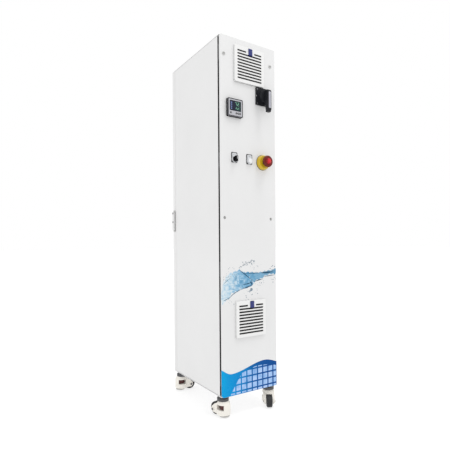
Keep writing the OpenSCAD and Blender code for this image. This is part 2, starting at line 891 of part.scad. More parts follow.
module caster_wheel(i) {
    w = wheel_w / 2;
    color(DARK)
    at_caster(i)
        translate([0, -trail, wheel_r])
            rotate([0, 90, 0])
                rotate_extrude()
                    polygon([
                        [axle_r + fit, -w], [9, -w], [10, -w + 2], [17, -w + 2], [18, -w],
                        [wheel_r - 4, -w], [wheel_r - 1, -w + 2], [wheel_r, -w + 5],
                        [wheel_r, w - 5], [wheel_r - 1, w - 2], [wheel_r - 4, w],
                        [18, w], [17, w - 2], [10, w - 2], [9, w], [axle_r + fit, w]
                    ]);
}

// Thumb wheel that runs the foot up and down
module caster_dial(i) {
    grips = 14;
    color([0.45, 0.08, 0.07])
    at_caster(i)
        translate([0, foot_y, 0])
            difference() {
                bar_z(0, 0, dial_z0, dial_z1, dial_r);
                bar_z(0, 0, dial_z0 - 1, dial_z1 + 1, spindle_r + fit);
                for (g = [0:grips - 1])
                    rotate(g * 360 / grips)
                        bar_z(dial_r + 1, 0, dial_z0 - 1, dial_z1 + 1, 2);
            }
}

module caster_foot(i) {
    color(STEEL)
    at_caster(i)
        translate([0, foot_y, 0]) {
            bar_z(0, 0, pad_z1 - 1, spindle_top, spindle_r);
            bar_z(0, 0, pad_z0, pad_z1, pad_r);
        }
}

// ---- Interior ----

module mounting_plate() {
    color(STEEL) {
        block([board_x, y_f + 65, board_z0], [board_x + sheet, y_b - 35, board_z1]);
        for (y = [y_f + 80, y_b - 50], z = [board_z0 + 30, board_z1 - 30])
            bar_x(board_x + sheet, x_r - sheet, y, z, 6);
    }
}

// A row of modules on a rail: each is [width along the rail, height, depth]
module rail_devices(z, devices, i = 0, y = rail_y0 + 6) {
    if (i < len(devices)) {
        d = devices[i];
        block([board_x - 7 - d[2], y, z - d[1] / 2], [board_x - 7, y + d[0] - 0.6, z + d[1] / 2]);
        rail_devices(z, devices, i + 1, y + d[0]);
    }
}

// Rails with breakers, contactor, relays and terminal blocks
module control_gear() {
    breaker = [18, 84, 62];
    contactor = [46, 78, 76];
    relay = [27, 72, 56];
    terminal = [8, 46, 40];
    color(GREY) {
        for (z = rail_zs)
            block([board_x - 7.5, rail_y0, z - 17.5], [board_x, rail_y1, z + 17.5]);
        rail_devices(rail_zs[0], [breaker, breaker, breaker, breaker, contactor, contactor]);
        rail_devices(rail_zs[1], concat([relay, relay, relay], [for (i = [0:12]) terminal]));
    }
}

// Rectifier that feeds the cell, with cooling fins towards the door
module power_supply() {
    x0 = board_x - 96;
    y0 = y_f + 110;
    y1 = y_b - 70;
    z0 = z_0 + 640;
    z1 = z_0 + 880;
    fins = 16;
    color(GREY)
    difference() {
        block([x0, y0, z0], [board_x, y1, z1]);
        for (i = [1:fins - 1])
            block([x0 - 1, y0 + i * (y1 - y0) / fins - 3.5, z0 - 1],
                  [x0 + 24, y0 + i * (y1 - y0) / fins + 3.5, z1 + 1]);
    }
}

// Clear tube with end caps, side bosses for the pipes and two brackets
module cell_housing() {
    cap = 20;
    color([0.8, 0.85, 0.9, 0.6])
    difference() {
        union() {
            bar_z(cell_x, cell_y, cell_z0, cell_z1, cell_r);
            for (z = [cell_z0 - 6, cell_z1 - cap + 6])
                bar_z(cell_x, cell_y, z, z + cap, cell_r + 7);
            for (z = port_zs)
                bar_y(cell_x, cell_y, cell_y + cell_r + 14, z, pipe_r + 6);
            for (z = [z_0 + 225, z_0 + 405])
                block([cell_x, cell_y - 15, z - 8], [x_r - sheet, cell_y + 15, z + 8]);
        }
        bar_z(cell_x, cell_y, cell_z0 + 8, cell_z1 - 8, cell_r - cell_wall);
        for (side = [-1, 1])
            bar_z(cell_x, cell_y + side * rod_y, cell_z1 - 9, cell_z1 + 30, rod_r + fit);
        for (z = port_zs)
            bar_y(cell_x, cell_y, cell_y + cell_r + 15, z, pipe_r);
    }
}

module electrode_stack() {
    pitch = 7;
    first = -(plates - 1) / 2;
    z0 = z_0 + port_low_z + 20;
    color(STEEL) {
        for (i = [0:plates - 1])
            block([cell_x + (first + i) * pitch - 0.8, cell_y - 30, z0],
                  [cell_x + (first + i) * pitch + 0.8, cell_y + 30, cell_z1 - 40]);
        for (side = [-1, 1]) {
            block([cell_x - plates * pitch / 2, cell_y + side * rod_y - 3, cell_z1 - 44],
                  [cell_x + plates * pitch / 2, cell_y + side * rod_y + 3, cell_z1 - 36]);
            bar_z(cell_x, cell_y + side * rod_y, cell_z1 - 38, cell_z1 + 26, rod_r);
        }
    }
}

// Water inlet and outlet: pipe from the cell, bulkhead nut, flange and socket
module water_pipes() {
    color(GREY)
    for (z = port_zs)
        difference() {
            union() {
                bar_y(cell_x, cell_y + cell_r, y_b + 8, z, pipe_r);
                bar_y(cell_x, y_b - 12, y_b - sheet, z, 36);
                bar_y(cell_x, y_b, y_b + 7, z, 37);
                bar_y(cell_x, y_b + 6, y_b + port_out, z, socket_r);
            }
            bar_y(cell_x, cell_y + cell_r - 1, y_b + port_out, z, pipe_bore_r);
            bar_y(cell_x, y_b + port_out - socket_depth, y_b + port_out + 1, z, socket_bore_d / 2);
        }
}

module cable_gland() {
    color(DARK)
    difference() {
        union() {
            bar_y(gland_x, y_b - 12, y_b + 6, gland_z, gland_thread_r);
            bar_y(gland_x, y_b - 9, y_b - sheet, gland_z, 17);
            translate([gland_x, y_b + 8, gland_z])
                rotate([90, 0, 0])
                    cylinder(r = 17, h = 8, $fn = 6);
            bar_y(gland_x, y_b + 8, y_b + gland_out, gland_z, 14);
        }
        bar_y(gland_x, y_b - 13, y_b + gland_out + 1, gland_z, gland_bore_r);
    }
}

// ---- Nodes ----

base_tray();
top_cover();
right_panel();
rear_panel();
front_panel();
corner_posts();
side_door();
door_gasket();
frame_hinges();
door_hinges();
latch_base();
latch_lever();
panel_screws();
filter_frames();
filter_mats();
upper_cover();
upper_latch();
lower_cover();
lower_latch();
fan_frame();
fan_rotor();
controller_case();
controller_screen();
for (i = [0:3]) {
    controller_key(i);
}
switch_plate();
switch_handle();
switch_body();
operator_bodies();
selector_knob();
push_cap();
estop_collar();
estop_plunger();
estop_head();
caster_stems();
for (i = [0:3]) {
    caster_housing(i);
    caster_wheel(i);
    caster_dial(i);
    caster_foot(i);
}
mounting_plate();
control_gear();
power_supply();
cell_housing();
electrode_stack();
water_pipes();
cable_gland();
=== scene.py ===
"""Looks of a free-standing salt chlorine generator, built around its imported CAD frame.

Shapes are written in millimetres and stored in metres. The front faces -Y, up is +Z, the service
door is on -X. Heights called h are above the cabinet's underside, and across runs over the front
panel from its left edge.
"""
import math
import random

import bmesh
import bpy
from mathutils import Matrix, Vector


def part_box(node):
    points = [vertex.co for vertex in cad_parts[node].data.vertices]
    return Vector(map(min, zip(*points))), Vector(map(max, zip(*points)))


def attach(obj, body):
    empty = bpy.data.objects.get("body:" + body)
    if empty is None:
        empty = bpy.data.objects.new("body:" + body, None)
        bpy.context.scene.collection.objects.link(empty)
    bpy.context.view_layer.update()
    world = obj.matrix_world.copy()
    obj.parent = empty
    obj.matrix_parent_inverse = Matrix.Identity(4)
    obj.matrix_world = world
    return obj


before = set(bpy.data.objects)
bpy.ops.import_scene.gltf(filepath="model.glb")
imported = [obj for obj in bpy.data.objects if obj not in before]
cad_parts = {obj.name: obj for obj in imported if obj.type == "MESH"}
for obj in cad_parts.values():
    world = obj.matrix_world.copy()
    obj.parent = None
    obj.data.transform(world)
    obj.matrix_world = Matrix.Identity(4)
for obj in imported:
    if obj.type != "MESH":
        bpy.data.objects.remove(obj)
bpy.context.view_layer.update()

MM = 0.001
FRONT = Vector((0, -1, 0))
UP = Vector((0, 0, 1))
ACROSS = Vector((1, 0, 0))
scene = bpy.context.scene


def cad(node):
    """Lowest and highest corner of a CAD node, in millimetres."""
    lo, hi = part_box(node)
    return Vector(lo) / MM, Vector(hi) / MM


def middle(node):
    lo, hi = cad(node)
    return (lo + hi) / 2


# Outline of the cabinet, from its panels
panel_lo, panel_hi = cad("front_panel")
X_L, X_R = panel_lo.x, panel_hi.x
X_C = (X_L + X_R) / 2
Y_F, Y_B = panel_lo.y, cad("rear_panel")[1].y
Z_0, Z_1 = panel_lo.z, panel_hi.z
WIDTH = X_R - X_L
EDGE_R, CORNER_R = 5.0, 8.0
SIDES = ("front_left", "front_right", "rear_left", "rear_right")


# ---- Camera, light and floor ----

def add_camera():
    """Stands in front and to the left of the cabinet, level, at about half its height."""
    data = bpy.data.cameras.new("camera")
    data.sensor_width = 36
    data.lens = CAMERA_LENS
    data.shift_y = CAMERA_SHIFT
    data.clip_start = 0.05
    obj = bpy.data.objects.new("camera", data)
    scene.collection.objects.link(obj)
    look = Vector(CAMERA_LOOK).normalized()
    right = look.cross(UP)
    turn = Matrix((right, UP, -look)).transposed()
    roll = Matrix.Rotation(math.radians(CAMERA_ROLL), 3, "Z")
    obj.matrix_world = Matrix.Translation(Vector(CAMERA_PLACE) * MM) @ (turn @ roll).to_4x4()
    scene.camera = obj


CAMERA_PLACE = (X_L - 841, Y_F - 1335, Z_0 + 606)
CAMERA_LOOK = (0.5411, 0.8410, 0)
CAMERA_ROLL = -0.43  # degrees
CAMERA_LENS = 32.05  # millimetres, on a sensor 36 wide
CAMERA_SHIFT = 0.0438


def softbox(name, place, target, size, power):
    """Square area light, in metres and watts, that faces a target."""
    data = bpy.data.lights.new(name, "AREA")
    data.size = size
    data.energy = power
    obj = bpy.data.objects.new(name, data)
    obj.location = place
    obj.rotation_euler = (Vector(target) - Vector(place)).to_track_quat("-Z", "Y").to_euler()
    scene.collection.objects.link(obj)


def add_studio():
    scene.view_settings.view_transform = "Standard"
    world = bpy.data.worlds.new("studio")
    world.use_nodes = True
    world.node_tree.nodes["Background"].inputs["Color"].default_value = (1, 1, 1, 1)
    world.node_tree.nodes["Background"].inputs["Strength"].default_value = WORLD_LIGHT
    scene.world = world
    softbox("key", (0.7, -1.3, 3.3), (0, 0, 0.9), 0.6, KEY_LIGHT)
    softbox("fill", (-2.6, -0.4, 1.0), (0, 0, 0.7), 1.8, FILL_LIGHT)
    sun = bpy.data.lights.new("sun", "SUN")
    sun.energy = SUN_LIGHT
    sun.angle = math.radians(20)
    overhead = bpy.data.objects.new("sun", sun)
    overhead.rotation_euler = (math.radians(14), math.radians(8), 0)
    scene.collection.objects.link(overhead)
    mesh = bpy.data.meshes.new("floor")
    far = FLOOR_REACH
    mesh.from_pydata([(-far, -far, 0), (far, -far, 0), (far, far, 0), (-far, far, 0)], [],
                     [(0, 1, 2, 3)])
    floor = bpy.data.objects.new("floor", mesh)
    scene.collection.objects.link(floor)
    paper = surface("floor_paper", (0.30, 0.30, 0.30), 0.9, grain=300, bump=0.02, vary=0.005)
    shader = next(node for node in paper.node_tree.nodes if node.type == "BSDF_PRINCIPLED")
    shader.inputs["Emission Color"].default_value = (1, 1, 1, 1)
    shader.inputs["Emission Strength"].default_value = FLOOR_GLOW
    mesh.materials.append(paper)


WORLD_LIGHT = 1.0
KEY_LIGHT = 9
FILL_LIGHT = 4
SUN_LIGHT = 0.5
FLOOR_REACH = 60  # metres
FLOOR_GLOW = 0.72  # keeps the shadow under the cabinet faint


# ---- Materials ----

def add_node(tree, kind, inputs=None, **settings):
    """Shader node with its settings, and inputs given as values or as sockets to link."""
    made = tree.nodes.new(kind)
    for key, value in settings.items():
        setattr(made, key, value)
    for key, value in (inputs or {}).items():
        if isinstance(value, bpy.types.NodeSocket):
            tree.links.new(value, made.inputs[key])
        else:
            made.inputs[key].default_value = value
    return made


def shade(colour, factor):
    return tuple(min(1.0, c * factor) for c in colour) + (1.0,)


def start_material(name):
    """New material: its tree, its shader and the object's own coordinates, in metres."""
    mat = bpy.data.materials.new(name)
    mat.use_nodes = True
    tree = mat.node_tree
    shader = tree.nodes["Principled BSDF"]
    place = add_node(tree, "ShaderNodeTexCoord").outputs["Object"]
    return mat, tree, shader, place


def noise(tree, place, scale, detail=3.0, stretch=(1, 1, 1), distortion=0.0):
    if stretch != (1, 1, 1):
        place = add_node(tree, "ShaderNodeMapping", {"Vector": place, "Scale": stretch}).outputs[0]
    made = add_node(tree, "ShaderNodeTexNoise",
                    {"Vector": place, "Scale": scale, "Detail": detail, "Distortion": distortion})
    return made.outputs["Fac"]


def spread(tree, value, low, high, start=0.3, end=0.7):
    """Maps a value between start and end to a number between low and high."""
    return add_node(tree, "ShaderNodeMapRange", {"Value": value, "From Min": start, "From Max": end,
                                                 "To Min": low, "To Max": high}).outputs[0]


def ramp(tree, value, stops):
    made = add_node(tree, "ShaderNodeValToRGB", {"Fac": value})
    elements = made.color_ramp.elements
    while len(elements) < len(stops):
        elements.new(0.5)
    for element, (position, colour) in zip(elements, stops):
        element.position = position
        element.color = tuple(colour[:3]) + (1.0,)
    return made.outputs["Color"]


def mix(tree, factor, first, second):
    made = add_node(tree, "ShaderNodeMix", data_type="RGBA")
    for socket, value in zip((made.inputs[0], made.inputs[6], made.inputs[7]), (factor, first, second)):
        if isinstance(value, bpy.types.NodeSocket):
            tree.links.new(value, socket)
        else:
            socket.default_value = value
    return made.outputs[2]


def sum_of(tree, operation, first, second):
    """Math node on two values or sockets."""
    return add_node(tree, "ShaderNodeMath", {0: first, 1: second}, operation=operation).outputs[0]


def coordinate(tree, place, letter):
    """One coordinate of a place: X, Y or Z."""
    return add_node(tree, "ShaderNodeSeparateXYZ", {"Vector": place}).outputs[letter]


def rightward(tree, place, start, end):
    """0 to 1 across the front, between two x positions in millimetres."""
    return spread(tree, coordinate(tree, place, "X"), 0.0, 1.0, start * MM, end * MM)


def set_roughness(tree, shader, source, low, high):
    tree.links.new(spread(tree, source, low, high), shader.inputs["Roughness"])


def raise_surface(tree, shader, height, depth, before=None):
    """Bump of a depth in millimetres; before is the normal of an earlier, coarser bump."""
    inputs = {"Height": height, "Distance": depth * MM, "Strength": 1.0}
    if before is not None:
        inputs["Normal"] = before
    normal = add_node(tree, "ShaderNodeBump", inputs).outputs[0]
    tree.links.new(normal, shader.inputs["Normal"])
    return normal


def surface(name, colour, rough, metallic=0.0, grain=900, bump=0.01, vary=0.05, rough_vary=0.08,
            broad=9, stretch=(1, 1, 1), coat=0.0, specular=0.5):
    """Plain finish: a fine grain raised by bump millimetres, with broad drifts of tone and gloss."""
    mat, tree, shader, place = start_material(name)
    fine = noise(tree, place, grain, 4.0, stretch)
    drift = noise(tree, place, broad, 6.0)
    tone = mix(tree, spread(tree, drift, 0.0, 1.0), shade(colour, 1 - vary), shade(colour, 1 + vary))
    speck = mix(tree, spread(tree, fine, 0.0, 0.35), tone, shade(colour, 1 - 2 * vary))
    tree.links.new(speck, shader.inputs["Base Color"])
    gloss = noise(tree, place, broad * 4, 5.0, stretch)
    set_roughness(tree, shader, gloss, rough - rough_vary, rough + rough_vary)
    shader.inputs["Metallic"].default_value = metallic
    shader.inputs["Coat Weight"].default_value = coat
    shader.inputs["Specular IOR Level"].default_value = specular
    raise_surface(tree, shader, fine, bump)
    return mat


def plastic(name, colour, rough, vary, grain=1500, bump=0.01, **more):
    return surface(name, colour, rough, grain=grain, bump=bump, vary=vary, **more)


def powder_coat(name, colour, rough=0.36):
    """Baked powder: orange-peel waves of two sizes and a faint grey drift."""
    mat, tree, shader, place = start_material(name)
    drift = noise(tree, place, 3.5, 7.0)
    tone = mix(tree, spread(tree, drift, 0.0, 1.0), shade(colour, 0.975), shade(colour, 1.012))
    tree.links.new(tone, shader.inputs["Base Color"])
    set_roughness(tree, shader, noise(tree, place, 60, 4.0), rough - 0.05, rough + 0.07)
    coarse = raise_surface(tree, shader, noise(tree, place, 420, 1.0), 0.012)
    raise_surface(tree, shader, noise(tree, place, 1500, 2.0), 0.004, coarse)
    shader.inputs["Coat Weight"].default_value = 0.12
    shader.inputs["Coat Roughness"].default_value = 0.25
    return mat


def fleece(name, colour):
    """Matted filter fibres: crossing streaks that stand proud of each other."""
    mat, tree, shader, place = start_material(name)
    across = noise(tree, place, 700, 3.0, (1, 1, 0.12), 1.5)
    along = noise(tree, place, 700, 3.0, (0.12, 1, 1), 1.5)
    fibres = sum_of(tree, "MAXIMUM", across, along)
    tone = mix(tree, spread(tree, fibres, 0.0, 1.0, 0.45, 0.7), shade(colour, 0.6), shade(colour, 1.5))
    tree.links.new(tone, shader.inputs["Base Color"])
    shader.inputs["Roughness"].default_value = 0.95
    raise_surface(tree, shader, fibres, 0.5)
    return mat


def two_tone(name, front, behind, edge, rough):
    """Moulding with a printed face: the front colour up to the depth edge, in mm, else the other."""
    mat, tree, shader, place = start_material(name)
    depth = coordinate(tree, place, "Y")
    face = sum_of(tree, "LESS_THAN", depth, edge * MM)
    grain = noise(tree, place, 1400, 3.0)
    bright = mix(tree, spread(tree, grain, 0.0, 1.0), shade(front, 0.93), shade(front, 1.05))
    tree.links.new(mix(tree, face, shade(behind, 1.0), bright), shader.inputs["Base Color"])
    set_roughness(tree, shader, noise(tree, place, 90), rough - 0.06, rough + 0.08)
    shader.inputs["Specular IOR Level"].default_value = 0.02
    raise_surface(tree, shader, grain, 0.006)
    return mat


def mushroom_red(name):
    """Glossy moulded red head with painted light: a painted highlight on the cap inside painted shade on
    the rim.
    """
    mat, tree, shader, place = start_material(name)
    axis = middle("estop_head") * MM
    across = sum_of(tree, "SUBTRACT", coordinate(tree, place, "X"), axis.x)
    rise = sum_of(tree, "SUBTRACT", coordinate(tree, place, "Z"), axis.z)
    flat = add_node(tree, "ShaderNodeCombineXYZ", {"X": across, "Y": rise}).outputs["Vector"]
    radius = add_node(tree, "ShaderNodeVectorMath", {0: flat}, operation="LENGTH").outputs["Value"]
    # Painted highlight near the head's axis, darkening to painted shade over the rim
    tone = ramp(tree, spread(tree, radius, 0.0, 1.0, 0.0, 0.024),
                [(0.0, (0.70, 0.030, 0.045)), (0.46, (0.52, 0.010, 0.016)), (0.56, (0.17, 0.008, 0.004)),
                 (1.0, (0.13, 0.012, 0.003))])
    grain = noise(tree, place, 1500, 3.0)
    tree.links.new(mix(tree, spread(tree, grain, 0.0, 0.12), tone, (0.10, 0.004, 0.004, 1)),
                   shader.inputs["Base Color"])
    set_roughness(tree, shader, noise(tree, place, 90), 0.16, 0.28)
    shader.inputs["Specular IOR Level"].default_value = 0.3
    raise_surface(tree, shader, grain, 0.004)
    return mat


def clear_acrylic(name):
    mat, tree, shader, place = start_material(name)
    shader.inputs["Base Color"].default_value = (0.90, 0.96, 0.98, 1)
    shader.inputs["Transmission Weight"].default_value = 0.92
    shader.inputs["IOR"].default_value = 1.49
    set_roughness(tree, shader, noise(tree, place, 14, 6.0), 0.03, 0.12)
    return mat


def display(name):
    """Dark liquid-crystal window, bluish on the left and greenish on the right."""
    mat, tree, shader, place = start_material(name)
    lo, hi = cad("controller_screen")
    side = rightward(tree, place, lo.x, hi.x)
    tone = ramp(tree, side,
                [(0, (0.012, 0.015, 0.035)), (0.45, (0.008, 0.012, 0.03)), (1, (0.02, 0.05, 0.045))])
    cells = noise(tree, place, 1800, 1.0)
    tree.links.new(mix(tree, spread(tree, cells, 0.0, 0.25), tone, (0.03, 0.035, 0.05, 1)),
                   shader.inputs["Base Color"])
    shader.inputs["Roughness"].default_value = 0.3
    shader.inputs["Specular IOR Level"].default_value = 0.2
    return mat


def glowing(name, colour, strength):
    mat, tree, shader, place = start_material(name)
    glow = mix(tree, spread(tree, noise(tree, place, 600), 0.0, 1.0), shade(colour, 0.8),
               shade(colour, 1.1))
    tree.links.new(glow, shader.inputs["Base Color"])
    tree.links.new(glow, shader.inputs["Emission Color"])
    shader.inputs["Emission Strength"].default_value = strength
    shader.inputs["Roughness"].default_value = 0.4
    return mat


def finish_print(tree, shader, place, tone, scale, low, high):
    """Colour and satin surface of a printed film, with the orange peel of the coat under it."""
    tree.links.new(tone, shader.inputs["Base Color"])
    set_roughness(tree, shader, noise(tree, place, scale), low, high)
    shader.inputs["Specular IOR Level"].default_value = 0.12
    raise_surface(tree, shader, noise(tree, place, 420, 1.0), 0.01)


def wave_print(name):
    """Printed band: bright cyan on the left that deepens to blue on the right."""
    mat, tree, shader, place = start_material(name)
    side = rightward(tree, place, X_L, X_R)
    wash = noise(tree, place, 12, 3.0)
    at = sum_of(tree, "ADD", side, spread(tree, wash, -0.06, 0.06))
    tone = ramp(tree, at, [(0, (0.0, 0.32, 0.66)), (0.22, (0.0, 0.24, 0.58)), (0.5, (0.0, 0.115, 0.36)),
                           (0.72, (0.0, 0.075, 0.29)), (1, (0.0, 0.06, 0.25))])
    finish_print(tree, shader, place, tone, 80, 0.24, 0.36)
    return mat


def tile_print(name):
    """Pale lavender glazed tiles, each a little lighter or darker than the next."""
    mat, tree, shader, place = start_material(name)
    clouds = noise(tree, place, 45, 3.0)
    tone = ramp(tree, clouds,
                [(0.3, (0.20, 0.38, 0.70)), (0.5, (0.32, 0.50, 0.80)), (0.7, (0.44, 0.58, 0.86))])
    finish_print(tree, shader, place, tone, 120, 0.22, 0.36)
    return mat


def water_print(name, stops, streak):
    """Printed water: pale at the panel's left edge, deeper to the right, with drawn-out streaks."""
    mat, tree, shader, place = start_material(name)
    side = rightward(tree, place, X_L, X_R)
    wash = spread(tree, noise(tree, place, 30, 6.0, (1, 1, 1.6), 2.2), -streak, streak)
    at = sum_of(tree, "ADD", side, wash)
    finish_print(tree, shader, place, ramp(tree, at, stops), 80, 0.3, 0.42)
    return mat


# ---- Shapes ----

def circle(centre, axis, radius, steps=32, turn=0.0):
    """Points round an axis; turn is in degrees."""
    axis = Vector(axis).normalized()
    side = (UP if abs(axis.z) < 0.9 else ACROSS).cross(axis).normalized()
    other = axis.cross(side)
    angles = [math.radians(turn) + i * math.tau / steps for i in range(steps)]
    return [Vector(centre) + (side * math.cos(a) + other * math.sin(a)) * radius for a in angles]


def rounded(width, height, radius, steps=5):
    """Outline of a rectangle with round corners, as (a, b) points."""
    points = []
    for quarter in range(4):
        sx, sy = ((1, 1), (-1, 1), (-1, -1), (1, -1))[quarter]
        for i in range(steps + 1):
            a = math.radians(90 * (quarter + i / steps))
            points.append((sx * (width / 2 - radius) + radius * math.cos(a),
                           sy * (height / 2 - radius) + radius * math.sin(a)))
    return points


def disc(radius, count=24, tall=1.0):
    return [(radius * math.cos(i * math.tau / count), radius * tall * math.sin(i * math.tau / count))
            for i in range(count)]


def oblong(width, height):
    return [(width / 2, height / 2), (-width / 2, height / 2), (-width / 2, -height / 2),
            (width / 2, -height / 2)]


SHARP_ANGLE = 32  # degrees between faces, above which an edge is sharp


class Shape:
    """Closed solids collected in one mesh, in millimetres."""

    def __init__(self):
        self.bm = bmesh.new()

    def loft(self, rings, ends=True):
        """Skin over rings of points, with flat ends, or closed on itself where ends is False."""
        rows = [[self.bm.verts.new(p) for p in ring] for ring in rings]
        pairs = list(zip(rows, rows[1:])) + ([] if ends else [(rows[-1], rows[0])])
        for a, b in pairs:
            for i in range(len(a)):
                j = (i + 1) % len(a)
                self.bm.faces.new((a[i], a[j], b[j], b[i]))
        if ends:
            self.bm.faces.new(rows[0])
            self.bm.faces.new(rows[-1])
        return self

    def block(self, lo, hi):
        corners = [(lo[0], lo[1]), (hi[0], lo[1]), (hi[0], hi[1]), (lo[0], hi[1])]
        return self.loft([[Vector((x, y, z)) for x, y in corners] for z in (lo[2], hi[2])])

    def turned(self, centre, axis, profile, steps=32, ends=True, turn=0.0):
        """Turned solid: the profile is (radius, distance along the axis) points."""
        axis = Vector(axis).normalized()
        return self.loft([circle(Vector(centre) + axis * d, axis, r, steps, turn) for r, d in profile],
                         ends)

    def plate(self, centre, outline, thick, hole=None, u=ACROSS, v=UP, out=FRONT):
        """Flat plate that stands out of a face by thick; hole is an outline with as many points."""
        def place(points, d):
            return [Vector(centre) + u * a + v * b + out * d for a, b in points]
        if hole is None:
            return self.loft([place(outline, 0), place(outline, thick)])
        return self.loft([place(outline, 0), place(outline, thick), place(hole, thick), place(hole, 0)],
                         False)

    def ring(self, centre, axis, outer, inner, length, steps):
        """Turned ring of rectangular section."""
        profile = [(outer, 0), (outer, length), (inner, length), (inner, 0)]
        return self.turned(centre, axis, profile, steps, False)

    def tube(self, points, radius, steps=10):
        rings = []
        for i, p in enumerate(points):
            ahead = Vector(points[min(i + 1, len(points) - 1)]) - Vector(points[max(i - 1, 0)])
            rings.append(circle(p, ahead, radius, steps))
        return self.loft(rings)

    def done(self, name, body, material, slot, bevel=0.0):
        """Makes the piece, in metres, riding on a body."""
        bmesh.ops.recalc_face_normals(self.bm, faces=self.bm.faces)
        bmesh.ops.scale(self.bm, vec=(MM, MM, MM), verts=self.bm.verts)
        mesh = bpy.data.meshes.new(name)
        self.bm.to_mesh(mesh)
        self.bm.free()
        mesh.materials.append(material)
        mesh.shade_smooth()
        mesh.set_sharp_from_angle(angle=math.radians(SHARP_ANGLE))
        obj = bpy.data.objects.new(name, mesh)
        scene.collection.objects.link(obj)
        if bevel:
            add_bevel(obj, bevel)
        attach(obj, body)
        return obj


def add_bevel(obj, width):
    bevel = obj.modifiers.new("edges", "BEVEL")
    bevel.width = width * MM
    bevel.segments = 2
    bevel.limit_method = "ANGLE"
    bevel.angle_limit = math.radians(SHARP_ANGLE)
    bevel.harden_normals = True


def start_group(name):
    """New modifier group and the geometry that enters it."""
    group = bpy.data.node_groups.new(name, "GeometryNodeTree")
    for way in ("INPUT", "OUTPUT"):
        group.interface.new_socket("Geometry", in_out=way, socket_type="NodeSocketGeometry")
    return group, group.nodes.new("NodeGroupInput").outputs[0]


def plain_mesh_group():
    """Modifier group: joins the corners of a CAD mesh and drops its imported normals."""
    group, geometry = start_group("plain_mesh")
    for attribute in ("custom_normal", "sharp_edge", "sharp_face"):
        geometry = add_node(group, "GeometryNodeRemoveAttribute",
                            {"Geometry": geometry, "Name": attribute}).outputs[0]
    geometry = add_node(group, "GeometryNodeMergeByDistance",
                        {"Geometry": geometry, "Distance": WELD}).outputs[0]
    group.links.new(geometry, group.nodes.new("NodeGroupOutput").inputs[0])
    return group


def shading_group(degrees):
    """Modifier group: smooth shading with sharp edges above an angle."""
    group, geometry = start_group("shading")
    angle = group.nodes.new("GeometryNodeInputMeshEdgeAngle").outputs["Unsigned Angle"]
    flat = add_node(group, "FunctionNodeCompare", {0: angle, 1: math.radians(degrees)},
                    operation="LESS_EQUAL")
    geometry = add_node(group, "GeometryNodeSetShadeSmooth",
                        {"Geometry": geometry, "Shade Smooth": True},
                        domain="FACE").outputs[0]
    geometry = add_node(group, "GeometryNodeSetShadeSmooth",
                        {"Geometry": geometry, "Shade Smooth": flat.outputs[0]},
                        domain="EDGE").outputs[0]
    group.links.new(geometry, group.nodes.new("NodeGroupOutput").inputs[0])
    return group


def soften(node, material, width):
    """Gives a CAD node its material and rounds its edges by width millimetres."""
    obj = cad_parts[node]
    for slot in obj.material_slots:
        slot.link = "OBJECT"
        slot.material = material
    if not width:
        return
    obj.modifiers.new("plain", "NODES").node_group = PLAIN_MESH
    flats = obj.modifiers.new("flats", "DECIMATE")
    flats.decimate_type = "DISSOLVE"
    flats.angle_limit = math.radians(0.6)
    add_bevel(obj, width)
    obj.modifiers.new("shading", "NODES").node_group = SHADING
    weighted = obj.modifiers.new("weighted", "WEIGHTED_NORMAL")
    weighted.mode = "FACE_AREA"
    weighted.keep_sharp = True


WELD = 2e-6  # metres
PLAIN_MESH = plain_mesh_group()
SHADING = shading_group(34)


# ---- Finishes ----

WHITE_COAT = powder_coat("white_powder_coat", (0.725, 0.725, 0.725))
FRAME_COAT = powder_coat("frame_powder_coat", (0.70, 0.70, 0.71), 0.45)
LOUVRE_PLASTIC = plastic("louvre_plastic", (0.77, 0.77, 0.765), 0.42, 0.02, grain=1600, bump=0.008)
TAB_PLASTIC = plastic("blue_plastic", (0.012, 0.022, 0.16), 0.35, 0.08, bump=0.008)
# Dark fleece of the filter mats, also laid as painted shade behind the cover slots
FLEECE_AND_PAINTED_SHADE = fleece("dark_fleece_and_painted_shade", (0.014, 0.014, 0.015))
BLACK_PLASTIC = plastic("black_plastic", (0.008, 0.008, 0.009), 0.5, 0.12, specular=0.05)
GREY_PLASTIC = plastic("dark_grey_plastic", (0.016, 0.017, 0.021), 0.34, 0.10, grain=1300, specular=0.16)
GRIP_FACE = plastic("light_grey_plastic", (0.40, 0.40, 0.45), 0.34, 0.05, grain=1300, bump=0.008)
CASE_FINISH = two_tone("controller_case", (0.46, 0.46, 0.49), (0.004, 0.004, 0.005),
                       cad("controller_case")[0].y + 0.7, 0.34)
DISPLAY = display("display_glass")
GREEN_DIGITS = glowing("green_digits", (0.22, 0.55, 0.36), 0.5)
BLUE_DIGITS = glowing("blue_digits", (0.20, 0.27, 0.55), 0.5)
WHITE_PLASTIC = plastic("white_plastic", (0.78, 0.79, 0.80), 0.28, 0.02, bump=0.006, coat=0.3)
YELLOW_PLASTIC = plastic("yellow_plastic", (0.62, 0.42, 0.012), 0.34, 0.05, bump=0.006, coat=0.2)
RED_PLASTIC = plastic("red_plastic", (0.15, 0.010, 0.004), 0.28, 0.06, bump=0.004, specular=0.3)
STOP_RED_PAINTED_LIGHT = mushroom_red("stop_head_red_painted_light")
STEEL = surface("zinc_plated_steel", (0.55, 0.55, 0.54), 0.32, 0.95, 500, 0.01, 0.10, 0.12,
                stretch=(1, 1, 0.15))
GALVANISED = surface("galvanised_sheet", (0.50, 0.52, 0.54), 0.38, 0.9, 260, 0.01, 0.12, 0.12)
SCREW_METAL = surface("dark_screw_metal", (0.16, 0.16, 0.165), 0.35, 0.8, 700, 0.012, 0.12, 0.10)
HINGE_METAL = surface("dark_hinge_metal", (0.10, 0.10, 0.105), 0.42, 0.7, 700, 0.012, 0.15, 0.10)
IVORY = plastic("ivory_nylon", (0.82, 0.79, 0.73), 0.36, 0.035, grain=800, bump=0.02)
TYRE = plastic("black_tread", (0.014, 0.014, 0.015), 0.55, 0.2, grain=900, bump=0.03)
DIAL_RED = plastic("dark_red_nylon", (0.065, 0.006, 0.005), 0.42, 0.1, grain=1000, bump=0.015)
